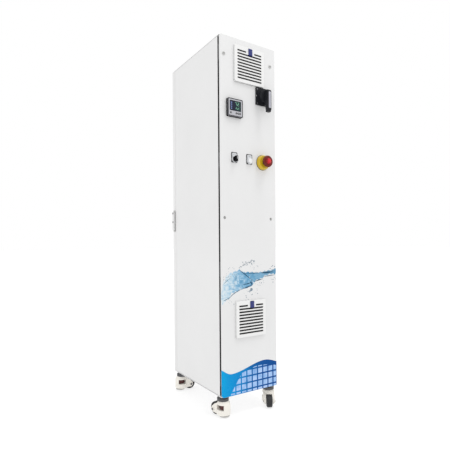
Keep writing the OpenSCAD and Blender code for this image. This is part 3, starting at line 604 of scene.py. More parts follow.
# Black rubber, also laid as painted shade in the door slit and in the screw recesses
RUBBER_AND_PAINTED_SHADE = plastic("black_rubber_and_painted_shade", (0.02, 0.02, 0.021), 0.75, 0.2, grain=700, bump=0.03)
SOLE = plastic("pale_rubber", (0.55, 0.54, 0.52), 0.7, 0.06, grain=700, bump=0.03)
GEAR_GREY = plastic("grey_thermoplastic", (0.50, 0.52, 0.54), 0.40, 0.04)
ANODISED = surface("anodised_aluminium", (0.58, 0.59, 0.61), 0.36, 0.9, 1100, 0.01, 0.05, 0.08,
                   stretch=(1, 1, 0.1))
TITANIUM = surface("coated_titanium", (0.11, 0.105, 0.10), 0.45, 0.8, 900, 0.02, 0.2, 0.1)
PVC_GREY = plastic("grey_pvc", (0.16, 0.17, 0.18), 0.36, 0.08, grain=900)
COPPER = surface("copper_bar", (0.72, 0.32, 0.16), 0.30, 0.95, 800, 0.008, 0.12, 0.1,
                 stretch=(1, 0.1, 1))
LABEL = surface("silver_label", (0.62, 0.63, 0.65), 0.35, 0.5, 1200, 0.005, 0.03, stretch=(0.1, 1, 1))
PRINT_DARK = plastic("dark_print", (0.02, 0.022, 0.03), 0.45, 0.1, grain=900, bump=0.004)
PRINT_WHITE = plastic("white_print", (0.80, 0.80, 0.80), 0.40, 0.02, grain=900, bump=0.004)
TERMINAL_BLUE = plastic("blue_terminal", (0.02, 0.10, 0.42), 0.40, 0.08)
TERMINAL_GREEN = plastic("green_terminal", (0.05, 0.30, 0.06), 0.40, 0.08)
ORANGE_PLASTIC = plastic("orange_plastic", (0.75, 0.20, 0.02), 0.40, 0.06)
ACRYLIC = clear_acrylic("clear_acrylic")

# Finish, edge radius in millimetres, and the CAD nodes that stay visible with them
NODE_FINISHES = (
    (FRAME_COAT, 0.5, "base_tray"), (FRAME_COAT, 0.8, "corner_posts"), (WHITE_COAT, 0.3, "front_panel"),
    (WHITE_COAT, 0.5, "rear_panel"), (WHITE_COAT, 0.6, "right_panel"), (WHITE_COAT, 0.7, "latch_lever"),
    (WHITE_COAT, 0.8, "top_cover side_door"), (RUBBER_AND_PAINTED_SHADE, 1.0, "door_gasket"),
    (HINGE_METAL, 0.4, "frame_hinges door_hinges"), (HINGE_METAL, 0.6, "caster_stems"),
    (STEEL, 0.3, "latch_base"), (STEEL, 0.5, "panel_screws"), (LOUVRE_PLASTIC, 0.3, "filter_frames"),
    (LOUVRE_PLASTIC, 0.4, "upper_cover lower_cover"), (FLEECE_AND_PAINTED_SHADE, 0, "filter_mats"),
    (TAB_PLASTIC, 0.3, "upper_latch lower_latch"), (BLACK_PLASTIC, 0.3, "fan_rotor"),
    (BLACK_PLASTIC, 0.4, "key_menu key_back key_down key_up"),
    (BLACK_PLASTIC, 0.5, "fan_frame operator_bodies"),
    (BLACK_PLASTIC, 0.7, "selector_knob cable_gland"), (CASE_FINISH, 0.5, "controller_case"),
    (DISPLAY, 0.1, "controller_screen"), (GREY_PLASTIC, 0.4, "estop_plunger"),
    (GREY_PLASTIC, 0.6, "switch_plate"), (GREY_PLASTIC, 1.2, "switch_handle"),
    (GEAR_GREY, 0.6, "switch_body"), (GEAR_GREY, 0.7, "control_gear"), (WHITE_PLASTIC, 0.6, "push_cap"),
    (YELLOW_PLASTIC, 0.6, "estop_collar"), (STOP_RED_PAINTED_LIGHT, 0.6, "estop_head"),
    (GALVANISED, 0.4, "mounting_plate"), (ANODISED, 0.4, "power_supply"), (ACRYLIC, 0.6, "cell_housing"),
    (TITANIUM, 0.2, "electrode_stack"), (PVC_GREY, 0.8, "water_pipes"),
    (IVORY, 1.2, " ".join(side + "_housing" for side in SIDES)),
    (TYRE, 0.5, " ".join(side + "_wheel" for side in SIDES)),
    (DIAL_RED, 0.5, " ".join(side + "_dial" for side in SIDES)),
    (STEEL, 0.5, " ".join(side + "_foot" for side in SIDES)),
)


# ---- Front panel graphics ----

PRINT = 0.15  # thickness of a print, in millimetres


def curve(points, x):
    """Smooth line through (x, value) points, level at each of them."""
    for (x0, v0), (x1, v1) in zip(points, points[1:]):
        if x <= x1:
            t = max(0.0, (x - x0) / (x1 - x0))
            return v0 + (v1 - v0) * t * t * (3 - 2 * t)
    return points[-1][1]


def round_edge(edge):
    """Distance in from the panel's side of a place that is edge millimetres along its surface."""
    return EDGE_R * (1 - math.cos(edge / EDGE_R * math.pi / 2)) if edge < EDGE_R else edge


def on_panel(across, h, out):
    """Point a distance out of the front panel, whose upright edges are round."""
    left = across < WIDTH / 2
    edge = min(across, WIDTH - across)
    angle = min(1.0, edge / EDGE_R) * math.pi / 2
    inset = round_edge(edge) - out * math.cos(angle)
    depth = EDGE_R - (EDGE_R + out) * math.sin(angle)
    return Vector((X_L + inset if left else X_R - inset, Y_F + depth, Z_0 + h))


def panel_low(across):
    """Height of the panel's lower edge, which is round at both corners."""
    inset = round_edge(min(across, WIDTH - across))
    return 0.3 + (CORNER_R - math.sqrt(CORNER_R ** 2 - (CORNER_R - inset) ** 2) if inset < CORNER_R else 0)


def film(shape, columns, out=PRINT, thick=PRINT):
    """Thin print on the panel, from (across, lowest h, highest h) columns."""
    shape.loft([[on_panel(a, low, out), on_panel(a, high, out), on_panel(a, high, out - thick),
                 on_panel(a, low, out - thick)] for a, low, high in columns])


def steps(start, end, count):
    return [start + (end - start) * i / count for i in range(count + 1)]


WAVE = [(-40, 129), (46, 88), (212, 119), (335, 88)]


def wave_band():
    """Flat blue band along the foot of the panel, with a trough on the left and a crest on the right."""
    columns = steps(0, EDGE_R, 6) + steps(EDGE_R, WIDTH - EDGE_R, 70)[1:]
    columns += steps(WIDTH - EDGE_R, WIDTH, 6)[1:]
    shape = Shape()
    film(shape, [(a, panel_low(a), curve(WAVE, a)) for a in columns])
    shape.done("wave_print", "cabinet", WAVE_PRINT, "cabinet_white")


def pool_tiles():
    """Tiles under the crest of the wave, cut off by the band and by a slanting edge on the left."""
    pitch, grout, first, row_first = 27.5, 6.4, 37.0, -13.5
    band = [(40, 9), (150, 12), (225, 21), (280, 17)]
    shape = Shape()
    for row in range(5):
        for column in range(9):
            left = first + grout / 2 + column * pitch
            low = row_first + grout / 2 + row * pitch * 0.965
            columns = []
            for a in steps(left, min(left + pitch - grout, WIDTH - 1), 8):
                top = min(low + pitch * 0.965 - grout, curve(WAVE, a) - curve(band, a),
                          13 + (a - 45) * 1.43)
                bottom = max(low, panel_low(a) + 3.5 * (1 - (a - 45) / 200))
                if top > bottom + 0.5:
                    columns.append((a, bottom, top))
            if len(columns) > 1:
                film(shape, columns, PRINT + 0.06, 0.06)
    shape.done("pool_tile_print", "cabinet", TILE_PRINT, "cabinet_white")


def ragged(a, size, phase):
    return size * (math.sin(a * 0.29 + phase) + 0.7 * math.sin(a * 0.83 + 2 * phase)
                   + 0.5 * math.sin(a * 1.9 + 3 * phase)) / 2


def water_sheet(name, upper, lower, start, end, out):
    shape = Shape()
    columns = []
    for a in steps(start, end, 110):
        fade = min(1.0, (a - start) / 5 + 0.3, (end - a) / 6 + 0.1)
        low = curve(lower, a) + ragged(a, 3.4, 1.0) + ragged(a * 2.7, 1.6, 0.4)
        high = curve(upper, a) + ragged(a, 3.6, 2.0) + ragged(a * 2.3, 1.8, 1.3)
        centre = (low + high) / 2
        columns.append((a, centre + (low - centre) * fade, centre + (high - centre) * fade))
    film(shape, columns, out)
    shape.done(name, "cabinet", WATER_PALE, "cabinet_white")


def water_splash():
    """A sheet of water that leaps up from the left and a thinner one that runs on to the right."""
    water_sheet("leaping_water_print", [(0, 436), (12, 462), (28, 484), (46, 494), (70, 499), (86, 504),
                                        (98, 495), (122, 484), (158, 450)],
                [(0, 360), (14, 380), (34, 390), (50, 413), (110, 427), (158, 436)], 1, 157, PRINT)
    water_sheet("running_water_print", [(100, 492), (118, 493), (180, 489), (255, 496), (280, 506)],
                [(100, 486), (132, 474), (160, 448), (170, 458), (200, 463), (216, 474), (250, 480),
                 (280, 478)], 102,
                WIDTH - 1, PRINT * 1.2)
    folds = Shape()
    strokes = (
        ((86, 504), (110, 486), (146, 462), 4.5), ((144, 464), (154, 452), (150, 436), 6.0),
        ((140, 452), (147, 448), (151, 438), 10.0), ((32, 387), (52, 412), (100, 425), 3.0),
        ((100, 426), (128, 430), (152, 440), 4.5), ((8, 384), (20, 386), (40, 396), 3.0),
        ((63, 488), (68, 478), (73, 466), 3.0), ((62, 448), (60, 438), (56, 426), 3.2),
        ((6, 446), (22, 462), (42, 472), 2.6), ((76, 494), (62, 460), (58, 424), 3.0),
        ((196, 487), (228, 486), (262, 489), 7.5), ((160, 452), (182, 457), (206, 461), 3.0),
        ((112, 488), (150, 488), (196, 486), 2.6), ((100, 444), (124, 442), (146, 450), 3.4),
        ((210, 470), (240, 473), (274, 475), 2.2),
    )
    for index, (start, bend, end, width) in enumerate(strokes):
        columns = []
        for t in steps(0, 1, 24):
            a, h = ((1 - t) ** 2 * p + 2 * t * (1 - t) * q + t * t * r
                    for p, q, r in zip(start, bend, end))
            half = width / 2 * math.sin(math.pi * min(1.0, t * 0.94 + 0.03)) + 0.15
            columns.append((a + 0.02 * t, h - half, h + half + ragged(a, 0.5, index)))
        film(folds, columns, PRINT * 2, PRINT)
    folds.done("water_fold_print", "cabinet", WATER_DEEP, "cabinet_white")

    random.seed(7)
    drops = Shape()
    # Clouds of drops: middle across, middle h, half width, half height, number
    clouds = ((132, 528, 32, 8, 16), (36, 496, 24, 20, 12), (24, 472, 18, 8, 8), (262, 502, 15, 14, 12),
              (262, 452, 16, 12, 8), (190, 444, 26, 12, 9), (118, 396, 20, 20, 9), (40, 372, 20, 10, 6),
              (150, 412, 30, 14, 8), (200, 512, 60, 10, 8))
    for across, h, wide, high, number in clouds:
        for _ in range(number):
            radius = random.uniform(0.8, 2.2)
            drops.plate((X_L + across + random.uniform(-wide, wide), Y_F,
                         Z_0 + h + random.uniform(-high, high)),
                        disc(radius, 12, random.uniform(0.8, 1.3)), PRINT * 1.5)
    for i in range(26):
        t = i / 25
        drops.plate((X_L + 84 + 66 * t + random.uniform(-2, 2), Y_F,
                     Z_0 + 512 + 28 * t + random.uniform(-3, 3)),
                    disc(random.uniform(0.9, 2.3), 12), PRINT * 1.5)
    for a, h, radius in ((146, 420, 6.5), (139, 414, 3.4), (160, 537, 3.6), (148, 528, 3.0)):
        drops.plate((X_L + a, Y_F, Z_0 + h), disc(radius, 20), PRINT * 1.5)
    drops.done("water_drop_print", "cabinet", WATER_DROPS, "cabinet_white")


WAVE_PRINT = wave_print("wave_print")
TILE_PRINT = tile_print("tile_print")
PALE_STOPS = [(0.0, (0.62, 0.71, 0.76)), (0.2, (0.40, 0.57, 0.69)), (0.36, (0.20, 0.40, 0.58)),
              (0.5, (0.11, 0.30, 0.48)), (0.62, (0.20, 0.39, 0.55)), (0.85, (0.16, 0.34, 0.50)),
              (1.0, (0.12, 0.29, 0.45))]
DEEP_STOPS = [(0.0, (0.16, 0.25, 0.32)), (0.3, (0.05, 0.13, 0.21)), (0.55, (0.012, 0.05, 0.10)),
              (1.0, (0.04, 0.11, 0.18))]
WATER_PALE = water_print("pale_water_print", PALE_STOPS, 0.2)
WATER_DEEP = water_print("deep_water_print", DEEP_STOPS, 0.14)
WATER_DROPS = water_print("water_drop_print", [(0.1, (0.36, 0.40, 0.43)), (0.9, (0.14, 0.20, 0.26))],
                          0.3)


# ---- Details of the front ----

SEGMENTS = {"a": (0, 1), "b": (0.5, 0.5), "c": (0.5, -0.5), "d": (0, -1), "e": (-0.5, -0.5),
            "f": (-0.5, 0.5),
            "g": (0, 0)}
DIGITS = {"0": "abcdef", "2": "abged", "5": "afgcd", "7": "abc", "8": "abcdefg"}


def add_digits(name, text, x, z, size, material):
    """Seven-segment figures on the display; size is half their height."""
    y = cad("controller_screen")[0].y
    shape = Shape()
    for figure in text:
        for segment in DIGITS.get(figure, ""):
            dx, dz = SEGMENTS[segment]
            flat = segment in "adg"
            outline = oblong(size * (0.75 if flat else 0.2), size * (0.2 if flat else 0.8))
            shape.plate((x + dx * size, y, z + dz * size), outline, 0.12)
        if figure == ".":
            shape.plate((x - size * 0.6, y, z - size), oblong(size * 0.22, size * 0.22), 0.12)
        x += size * (0.35 if figure == "." else 1.55)
    shape.done(name, "cabinet", material, "screen")


def controller_details():
    lo = cad("controller_case")[0]
    centre = Vector((middle("controller_case").x, lo.y, middle("controller_case").z))
    rim = Shape().plate(centre, rounded(70.6, 70.6, 4), 0.5, rounded(65, 65, 3))
    rim.done("controller_rim", "cabinet", BLACK_PLASTIC, "black_plastic", 0.15)
    window = middle("controller_screen")
    frame_line = Shape().plate((window.x, lo.y, window.z), rounded(54.5, 40.5, 2), 0.25,
                               rounded(51.6, 37.6, 1.4))
    frame_line.done("controller_window_frame", "cabinet", BLACK_PLASTIC, "black_plastic", 0.08)
    add_digits("upper_reading", "7.2", window.x + 2, window.z + 8.5, 6, GREEN_DIGITS)
    add_digits("lower_reading", "25.0", window.x + 3, window.z - 9.5, 3.4, GREEN_DIGITS)
    marks = Shape()
    for row in range(4):
        marks.plate((window.x - 19, cad("controller_screen")[0].y, window.z + 12 - row * 8),
                    oblong(6, 2.6), 0.12)
    marks.done("mode_marks", "cabinet", BLUE_DIGITS, "screen")
    for key, turn in (("menu", None), ("back", 180), ("down", 270), ("up", 90)):
        place = middle("key_" + key)
        place.y = cad("key_" + key)[0].y
        symbol = Shape()
        if turn is None:
            for dz in (-1.2, 0, 1.2):
                symbol.plate(place + UP * dz, oblong(3, 0.5), 0.1)
        else:
            corners = [(1.7 * math.cos(math.radians(turn + a)), 1.7 * math.sin(math.radians(turn + a)))
                       for a in (0, 120, 240)]
            symbol.plate(place, corners, 0.1)
        symbol.done(key + "_key_symbol", key + "_key", PRINT_WHITE, "black_plastic")


def switch_details():
    axis = middle("switch_plate")
    face = Y_F - 5
    screws = Shape()
    for sx in (-1, 1):
        for sz in (-1, 1):
            screws.turned((axis.x + sx * 30, face + 3, axis.z + sz * 30), FRONT,
                          [(2.0, 0), (3.8, 2.2), (3.8, 3.3)], 20)
    screws.done("switch_plate_screws", "cabinet", SCREW_METAL, "steel", 0.2)
    marks = Shape()
    marks.plate((axis.x - 35.6, face, axis.z), disc(2.2, 20, 1.3), 0.15, disc(1.5, 20, 1.3))
    marks.plate((axis.x, face, axis.z + 35.8), oblong(0.8, 4.6), 0.15)
    marks.done("switch_position_marks", "cabinet", PRINT_WHITE, "handle_grey")
    # The ring's scalloped edge and the lighter face of the grip
    ribs = Shape()
    for p in circle((axis.x, 0, axis.z), FRONT, 33.0, 36):
        ribs.turned((p.x, face, p.z), FRONT, [(0.9, 0), (0.9, 5.4), (0.4, 5.9)], 8)
    ribs.done("switch_ring_ribs", "cabinet", GREY_PLASTIC, "handle_grey")
    lo = cad("switch_handle")[0]
    grip = Shape().plate((axis.x, lo.y, axis.z - 24), rounded(11.5, 68, 2.5), 0.5)
    grip.done("handle_face", "main_handle", GRIP_FACE, "handle_grey", 0.2)
    pointer = Shape().plate((axis.x, lo.y - 0.5, axis.z + 4), oblong(1.6, 8), 0.15)
    pointer.done("handle_pointer", "main_handle", PRINT_WHITE, "handle_grey")
    lock = Shape().turned((lo.x + 27, lo.y + 21, axis.z - 46), ACROSS, [(3.4, -8.3), (3.4, 8.3)], 24)
    lock.done("handle_lock_eye", "main_handle", SCREW_METAL, "handle_grey", 0.2)


def operator_details():
    inserts, rings = Shape(), Shape()
    legend_z = (cad("operator_bodies")[1].z + cad("push_cap")[0].z - 3.5) / 2
    for node in ("selector_knob", "push_cap"):
        at = middle(node)
        inserts.plate((at.x, Y_F - 2, legend_z), rounded(23.4, 36.4, 5), 0.35)
        rings.turned((at.x, Y_F - 2.2, at.z), FRONT,
                     [(13.8, 0), (13.8, 4.6), (12.9, 5.4), (10.3, 5.4), (10.3, 0)], 40, False)
    inserts.done("legend_inserts", "cabinet", LABEL, "black_plastic", 0.1)
    rings.done("operator_rings", "cabinet", LABEL, "black_plastic", 0.15)
    marks = Shape()
    at = middle("push_cap")
    marks.plate((at.x, Y_F - 2.35, at.z + 18), disc(2.4, 20), 0.1, disc(1.7, 20))
    at = middle("selector_knob")
    for dx in (-6, 6):
        marks.plate((at.x + dx, Y_F - 2.35, at.z + 17), oblong(0.9, 4), 0.1)
    marks.done("legend_marks", "cabinet", PRINT_DARK, "black_plastic")
    lo = cad("selector_knob")[0]
    line = Shape().plate((at.x, lo.y, at.z + 4.5), oblong(1.4, 12), 0.15)
    line.done("selector_line", "selector", PRINT_WHITE, "black_plastic")
    flutes = Shape()
    for dz in range(-9, 10, 2):
        for side in (-1, 1):
            flutes.block((at.x + side * 4 - 0.35, lo.y + 3, at.z + dz - 0.4),
                         (at.x + side * 4 + 0.35, lo.y + 12, at.z + dz + 0.4))
    flutes.done("selector_flutes", "selector", BLACK_PLASTIC, "black_plastic")


def stop_details():
    at = middle("estop_head")
    lo, hi = cad("estop_head")
    arrows = Shape()
    for start in (10, 130, 250):
        outer = [start + i * 9 for i in range(8)]
        bend = [(13.6, a) for a in outer] + [(15.2, outer[-1]), (12.4, outer[-1] + 16), (9.6, outer[-1])]
        bend += [(11.2, a) for a in reversed(outer)]
        arrows.plate((at.x, lo.y + 0.1, at.z),
                     [(r * math.cos(math.radians(a)), r * math.sin(math.radians(a))) for r, a in bend],
                     0.3)
    arrows.done("stop_arrows", "stop_head", RED_PLASTIC, "stop_red", 0.05)
    grips = Shape()
    radius = (hi.x - lo.x) / 2
    for p in circle((at.x, 0, at.z), FRONT, radius - 0.15, 28):
        grips.turned((p.x, hi.y - 3, p.z), FRONT, [(0.2, 0), (0.7, 1), (0.7, 4.5), (0.2, 6)], 8)
    grips.done("stop_head_grips", "stop_head", RED_PLASTIC, "stop_red")
    skirt = Shape().turned((middle("estop_collar").x, Y_F, at.z), FRONT,
                           [(32.2, 0), (32.2, 1.2), (30.8, 2.2), (29, 2.2), (29, 0)], 56, False)
    skirt.done("stop_collar_seal", "cabinet", RUBBER_AND_PAINTED_SHADE, "stop_yellow", 0.1)


def louvre_painted_shade():
    """Dark strips of painted shade behind the slots of each cover, split where the tab passes."""
    for name in ("upper", "lower"):
        lo, hi = cad(name + "_cover")
        tab_lo, tab_hi = cad(name + "_latch")
        front = lo.y + COVER_SKIN + 0.2
        shape = Shape()
        for row in range(LOUVRES):
            z = (lo.z + hi.z) / 2 - 2 + ((LOUVRES - 1) / 2 - row) * LOUVRE_PITCH
            spans = [(X_C - 63.5, X_C + 63.5)]
            if z + 5.5 > tab_lo.z - 4:
                spans = [(X_C - 63.5, tab_lo.x - 1.5), (tab_hi.x + 1.5, X_C + 63.5)]
            for start, end in spans:
                # Painted shade that darkens the slots
                shape.block((start, front, z - 5.2), (end, front + 0.6, z + 5.2))
        shape.done(name + "_cover_painted_shade", name + "_grille", FLEECE_AND_PAINTED_SHADE, "filter_mat")


COVER_SKIN, LOUVRES, LOUVRE_PITCH = 2.5, 10, 12.3


def screw_recess_painted_shade():
    """Dark crosses of painted shade in the cross recesses of the panel's screw heads, and dark washers
    under the middle pair.
    """
    shape, washers = Shape(), Shape()
    for x in (X_L + 18, X_R - 28):
        for h, out, size in ((1365, 2.4, 6.5), (714, 2.0, 4.4)):
            # Painted shade of each cross recess
            for outline in (oblong(size, 1), oblong(1, size)):
                shape.plate((x, Y_F - out, Z_0 + h), outline, 0.12)
            if h < 1000:
                washers.plate((x, Y_F, Z_0 + h), disc(size * 1.2, 28), 0.5)
    shape.done("screw_recess_painted_shade", "cabinet", RUBBER_AND_PAINTED_SHADE, "steel")
    washers.done("screw_washers", "cabinet", RUBBER_AND_PAINTED_SHADE, "steel", 0.1)


def slit_painted_shade():
    """Dark strips that close the gap between the front panel and the door: painted shade for the slit."""
    Shape().block((X_L + 11, Y_F + 6.1, Z_0 + 4), (X_L + 22.1, Y_F + 15.2, Z_1 - 3)).done(
        "slit_shade_strip", "cabinet", RUBBER_AND_PAINTED_SHADE, "gasket", 0.4)
    lo, hi = cad("side_door")
    Shape().block((lo.x + 0.9, lo.y - 0.7, lo.z + 2), (hi.x - 0.6, lo.y + 0.3, hi.z - 2)).done(
        "door_edge_shade_strip", "door", RUBBER_AND_PAINTED_SHADE, "gasket")


# ---- Details of the side, the rear and the casters ----

def latch_details():
    lo, hi = cad("latch_lever")
    heads = Shape()
    for z in (hi.z - 7, hi.z - 49):
        heads.turned((lo.x + 0.2, (lo.y + hi.y) / 2, z), -ACROSS, [(4.6, 0), (4.6, 0.9), (3.6, 1.4)], 24)
    heads.done("latch_lever_screws", "latch", SCREW_METAL, "steel", 0.15)
    plate_lo, plate_hi = cad("latch_base")
    rivets = Shape()
    for z in (plate_lo.z + 5, plate_hi.z - 5):
        for dy in (-6, 6):
            rivets.turned((X_L - 2, (plate_lo.y + plate_hi.y) / 2 + dy, z), -ACROSS,
                          [(1.9, 0), (1.6, 0.6), (0.8, 0.9)], 16)
    rivets.done("latch_plate_rivets", "cabinet", STEEL, "steel")


def rear_details():
    lo, hi = cad("water_pipes")
    pipe_x = (lo.x + hi.x) / 2
    port_zs = (lo.z + 37, hi.z - 37)
    bolts, rings, marks = Shape(), Shape(), Shape()
    for index, z in enumerate(port_zs):
        for p in circle((pipe_x, 0, z), FRONT, 34, 8, 22.5):
            bolts.turned((p.x, Y_B + 6.8, p.z), -FRONT, [(2.5, 0), (2.5, 2.6), (2.1, 3.0)], 6)
        for d in (16, 34):
            rings.ring((pipe_x, Y_B + d, z), -FRONT, 31.9, 30.6, 3, 48)
        # Flow arrow beside each port
        tip = 1 if index else -1
        marks.plate((pipe_x - 54, Y_B, z),
                    [(0, 9 * tip), (-6, 0), (-2, 0), (-2, -9 * tip), (2, -9 * tip), (2, 0), (6, 0)],
                    0.12, out=-FRONT)
    bolts.done("flange_bolts", "cabinet", STEEL, "pvc_grey")
    rings.done("socket_bands", "cabinet", PVC_GREY, "pvc_grey", 0.3)
    marks.done("flow_arrows", "cabinet", PRINT_DARK, "cabinet_white")
    gland = middle("cable_gland")
    ribs = Shape()
    for p in circle((gland.x, 0, gland.z), FRONT, 13.9, 18):
        ribs.turned((p.x, Y_B + 9.5, p.z), -FRONT, [(0.5, 0), (0.9, 1), (0.9, 16), (0.5, 18)], 8)
    ribs.ring((gland.x, Y_B + 22, gland.z), -FRONT, 11.6, 8.2, 8.3, 40)
    ribs.done("gland_ribs", "cabinet", BLACK_PLASTIC, "black_plastic")
    label = Shape().plate((X_C + 10, Y_B, Z_0 + 1120), rounded(110, 70, 4), 0.5, out=-FRONT)
    label.done("rear_blank_plate", "cabinet", LABEL, "steel", 0.1)
    studs = Shape()
    for sx in (-1, 1):
        for sz in (-1, 1):
            studs.turned((X_C + 10 + sx * 49, Y_B + 0.5, Z_0 + 1120 + sz * 29), -FRONT,
                         [(1.9, 0), (1.5, 0.7), (0.7, 0.9)], 16)
    earth = Vector((X_L + 70, Y_B, Z_0 + 560))
    studs.turned(earth, -FRONT, [(4, 0), (4, 9), (3.4, 9.6)], 24)
    studs.turned(earth, -FRONT, [(7.5, 0.2), (7.5, 5), (6.6, 5.6)], 6)
    studs.turned(earth, -FRONT, [(9.5, 0), (9.5, 1.2)], 32)
    studs.done("plate_studs", "cabinet", STEEL, "steel")


def caster_details():
    for side in SIDES:
        hub, dial = middle(side + "_wheel"), middle(side + "_dial")
        ahead = Vector((hub.x - dial.x, hub.y - dial.y, 0)).normalized()
        axle = ahead.cross(UP)
        caps, hubs, tread = Shape(), Shape(), Shape()
        for sign in (-1, 1):
            caps.turned(hub + axle * sign * 24, axle * sign, [(5.4, -0.2), (5.4, 0.9), (4.6, 1.4)], 6)
            hubs.turned(hub + axle * sign * 10.1, axle * sign,
                        [(16.6, 0), (16.2, 0.9), (6, 1.6), (5, 1.6), (5, 0)], 32, False)
            for spoke in circle(hub + axle * sign * 11.2, axle, 10.6, 5):
                hubs.turned(spoke, axle * sign, [(1.9, -0.6), (1.9, 0.5), (1.2, 0.8)], 16)
        for offset in (-5, 0, 5):
            tread.ring(hub + axle * (offset - 0.5), axle, 25.12, 24.2, 1, 64)
        caps.done(side + "_axle_caps", side + "_housing_body", SCREW_METAL, "caster_ivory", 0.2)
        hubs.done(side + "_hub_faces", side + "_wheel_body", GREY_PLASTIC, "wheel_black", 0.15)
        tread.done(side + "_tread_lines", side + "_wheel_body", RUBBER_AND_PAINTED_SHADE, "wheel_black")
        foot_lo = cad(side + "_foot")[0]
        foot = middle(side + "_foot")
        sole = Shape().turned((foot.x, foot.y, foot_lo.z), UP, [(19.5, 0), (20.6, 0.8), (20.6, 3.4),
                                                                (19.9, 4), (18, 4), (18, 0)], 48, False)
        sole.done(side + "_foot_sole", side + "_foot_body", SOLE, "pad_rubber")
        crown = Shape().turned((foot.x + ahead.x * 7, foot.y + ahead.y * 7,
                                cad(side + "_housing")[1].z - 0.2), UP,
                               [(20.5, -0.3), (20.5, 0.5), (13, 0.5), (13, -0.3)], 48, False)
        crown.done(side + "_swivel_race", side + "_housing_body", HINGE_METAL, "caster_ivory")


# ---- Interior ----

def fan_details():
    lo = cad("fan_frame")[0]
    at = middle("fan_frame")
    guard = Shape()
    for radius in (16, 24, 32, 40, 48, 55):
        ring = circle((at.x, lo.y - 1.2, at.z), FRONT, radius, 48)
        guard.tube(ring + ring[:2], 0.8, 8)
    for i in range(4):
        a = math.radians(45 + 90 * i)
        reach = Vector((math.cos(a), 0, math.sin(a)))
        guard.tube([Vector((at.x, lo.y - 2.2, at.z)) + reach * 14,
                    Vector((at.x, lo.y - 2.2, at.z)) + reach * 71], 1.0, 8)
    guard.done("fan_guard", "cabinet", STEEL, "steel")
    hub = Shape().plate((at.x, cad("fan_rotor")[0].y, at.z), disc(15, 32), 0.3)
    hub.done("rotor_label", "rotor", LABEL, "black_plastic")


def duct(shape, lo, hi, along):
    """Slotted cable duct that opens towards the door: a back, two rows of fingers and a lid."""
    axis = 1 if along == "y" else 2
    side = 3 - axis
    back_lo, back_hi = list(lo), list(hi)
    back_lo[0] = hi[0] - 2
    shape.block(back_lo, back_hi)
    lid_lo, lid_hi = list(lo), list(hi)
    lid_hi[0] = lo[0] + 2
    shape.block(lid_lo, lid_hi)
    count = int((hi[axis] - lo[axis]) / 12)
    for i in range(count):
        start = lo[axis] + i * (hi[axis] - lo[axis]) / count
        for at in (lo[side], hi[side] - 1.5):
            finger_lo, finger_hi = [lo[0], 0, 0], [hi[0], 0, 0]
            finger_lo[axis], finger_hi[axis] = start + 0.5, start + 8
            finger_lo[side], finger_hi[side] = at, at + 1.5
            shape.block(finger_lo, finger_hi)


RAIL = 7  # depth of the rails behind the control gear


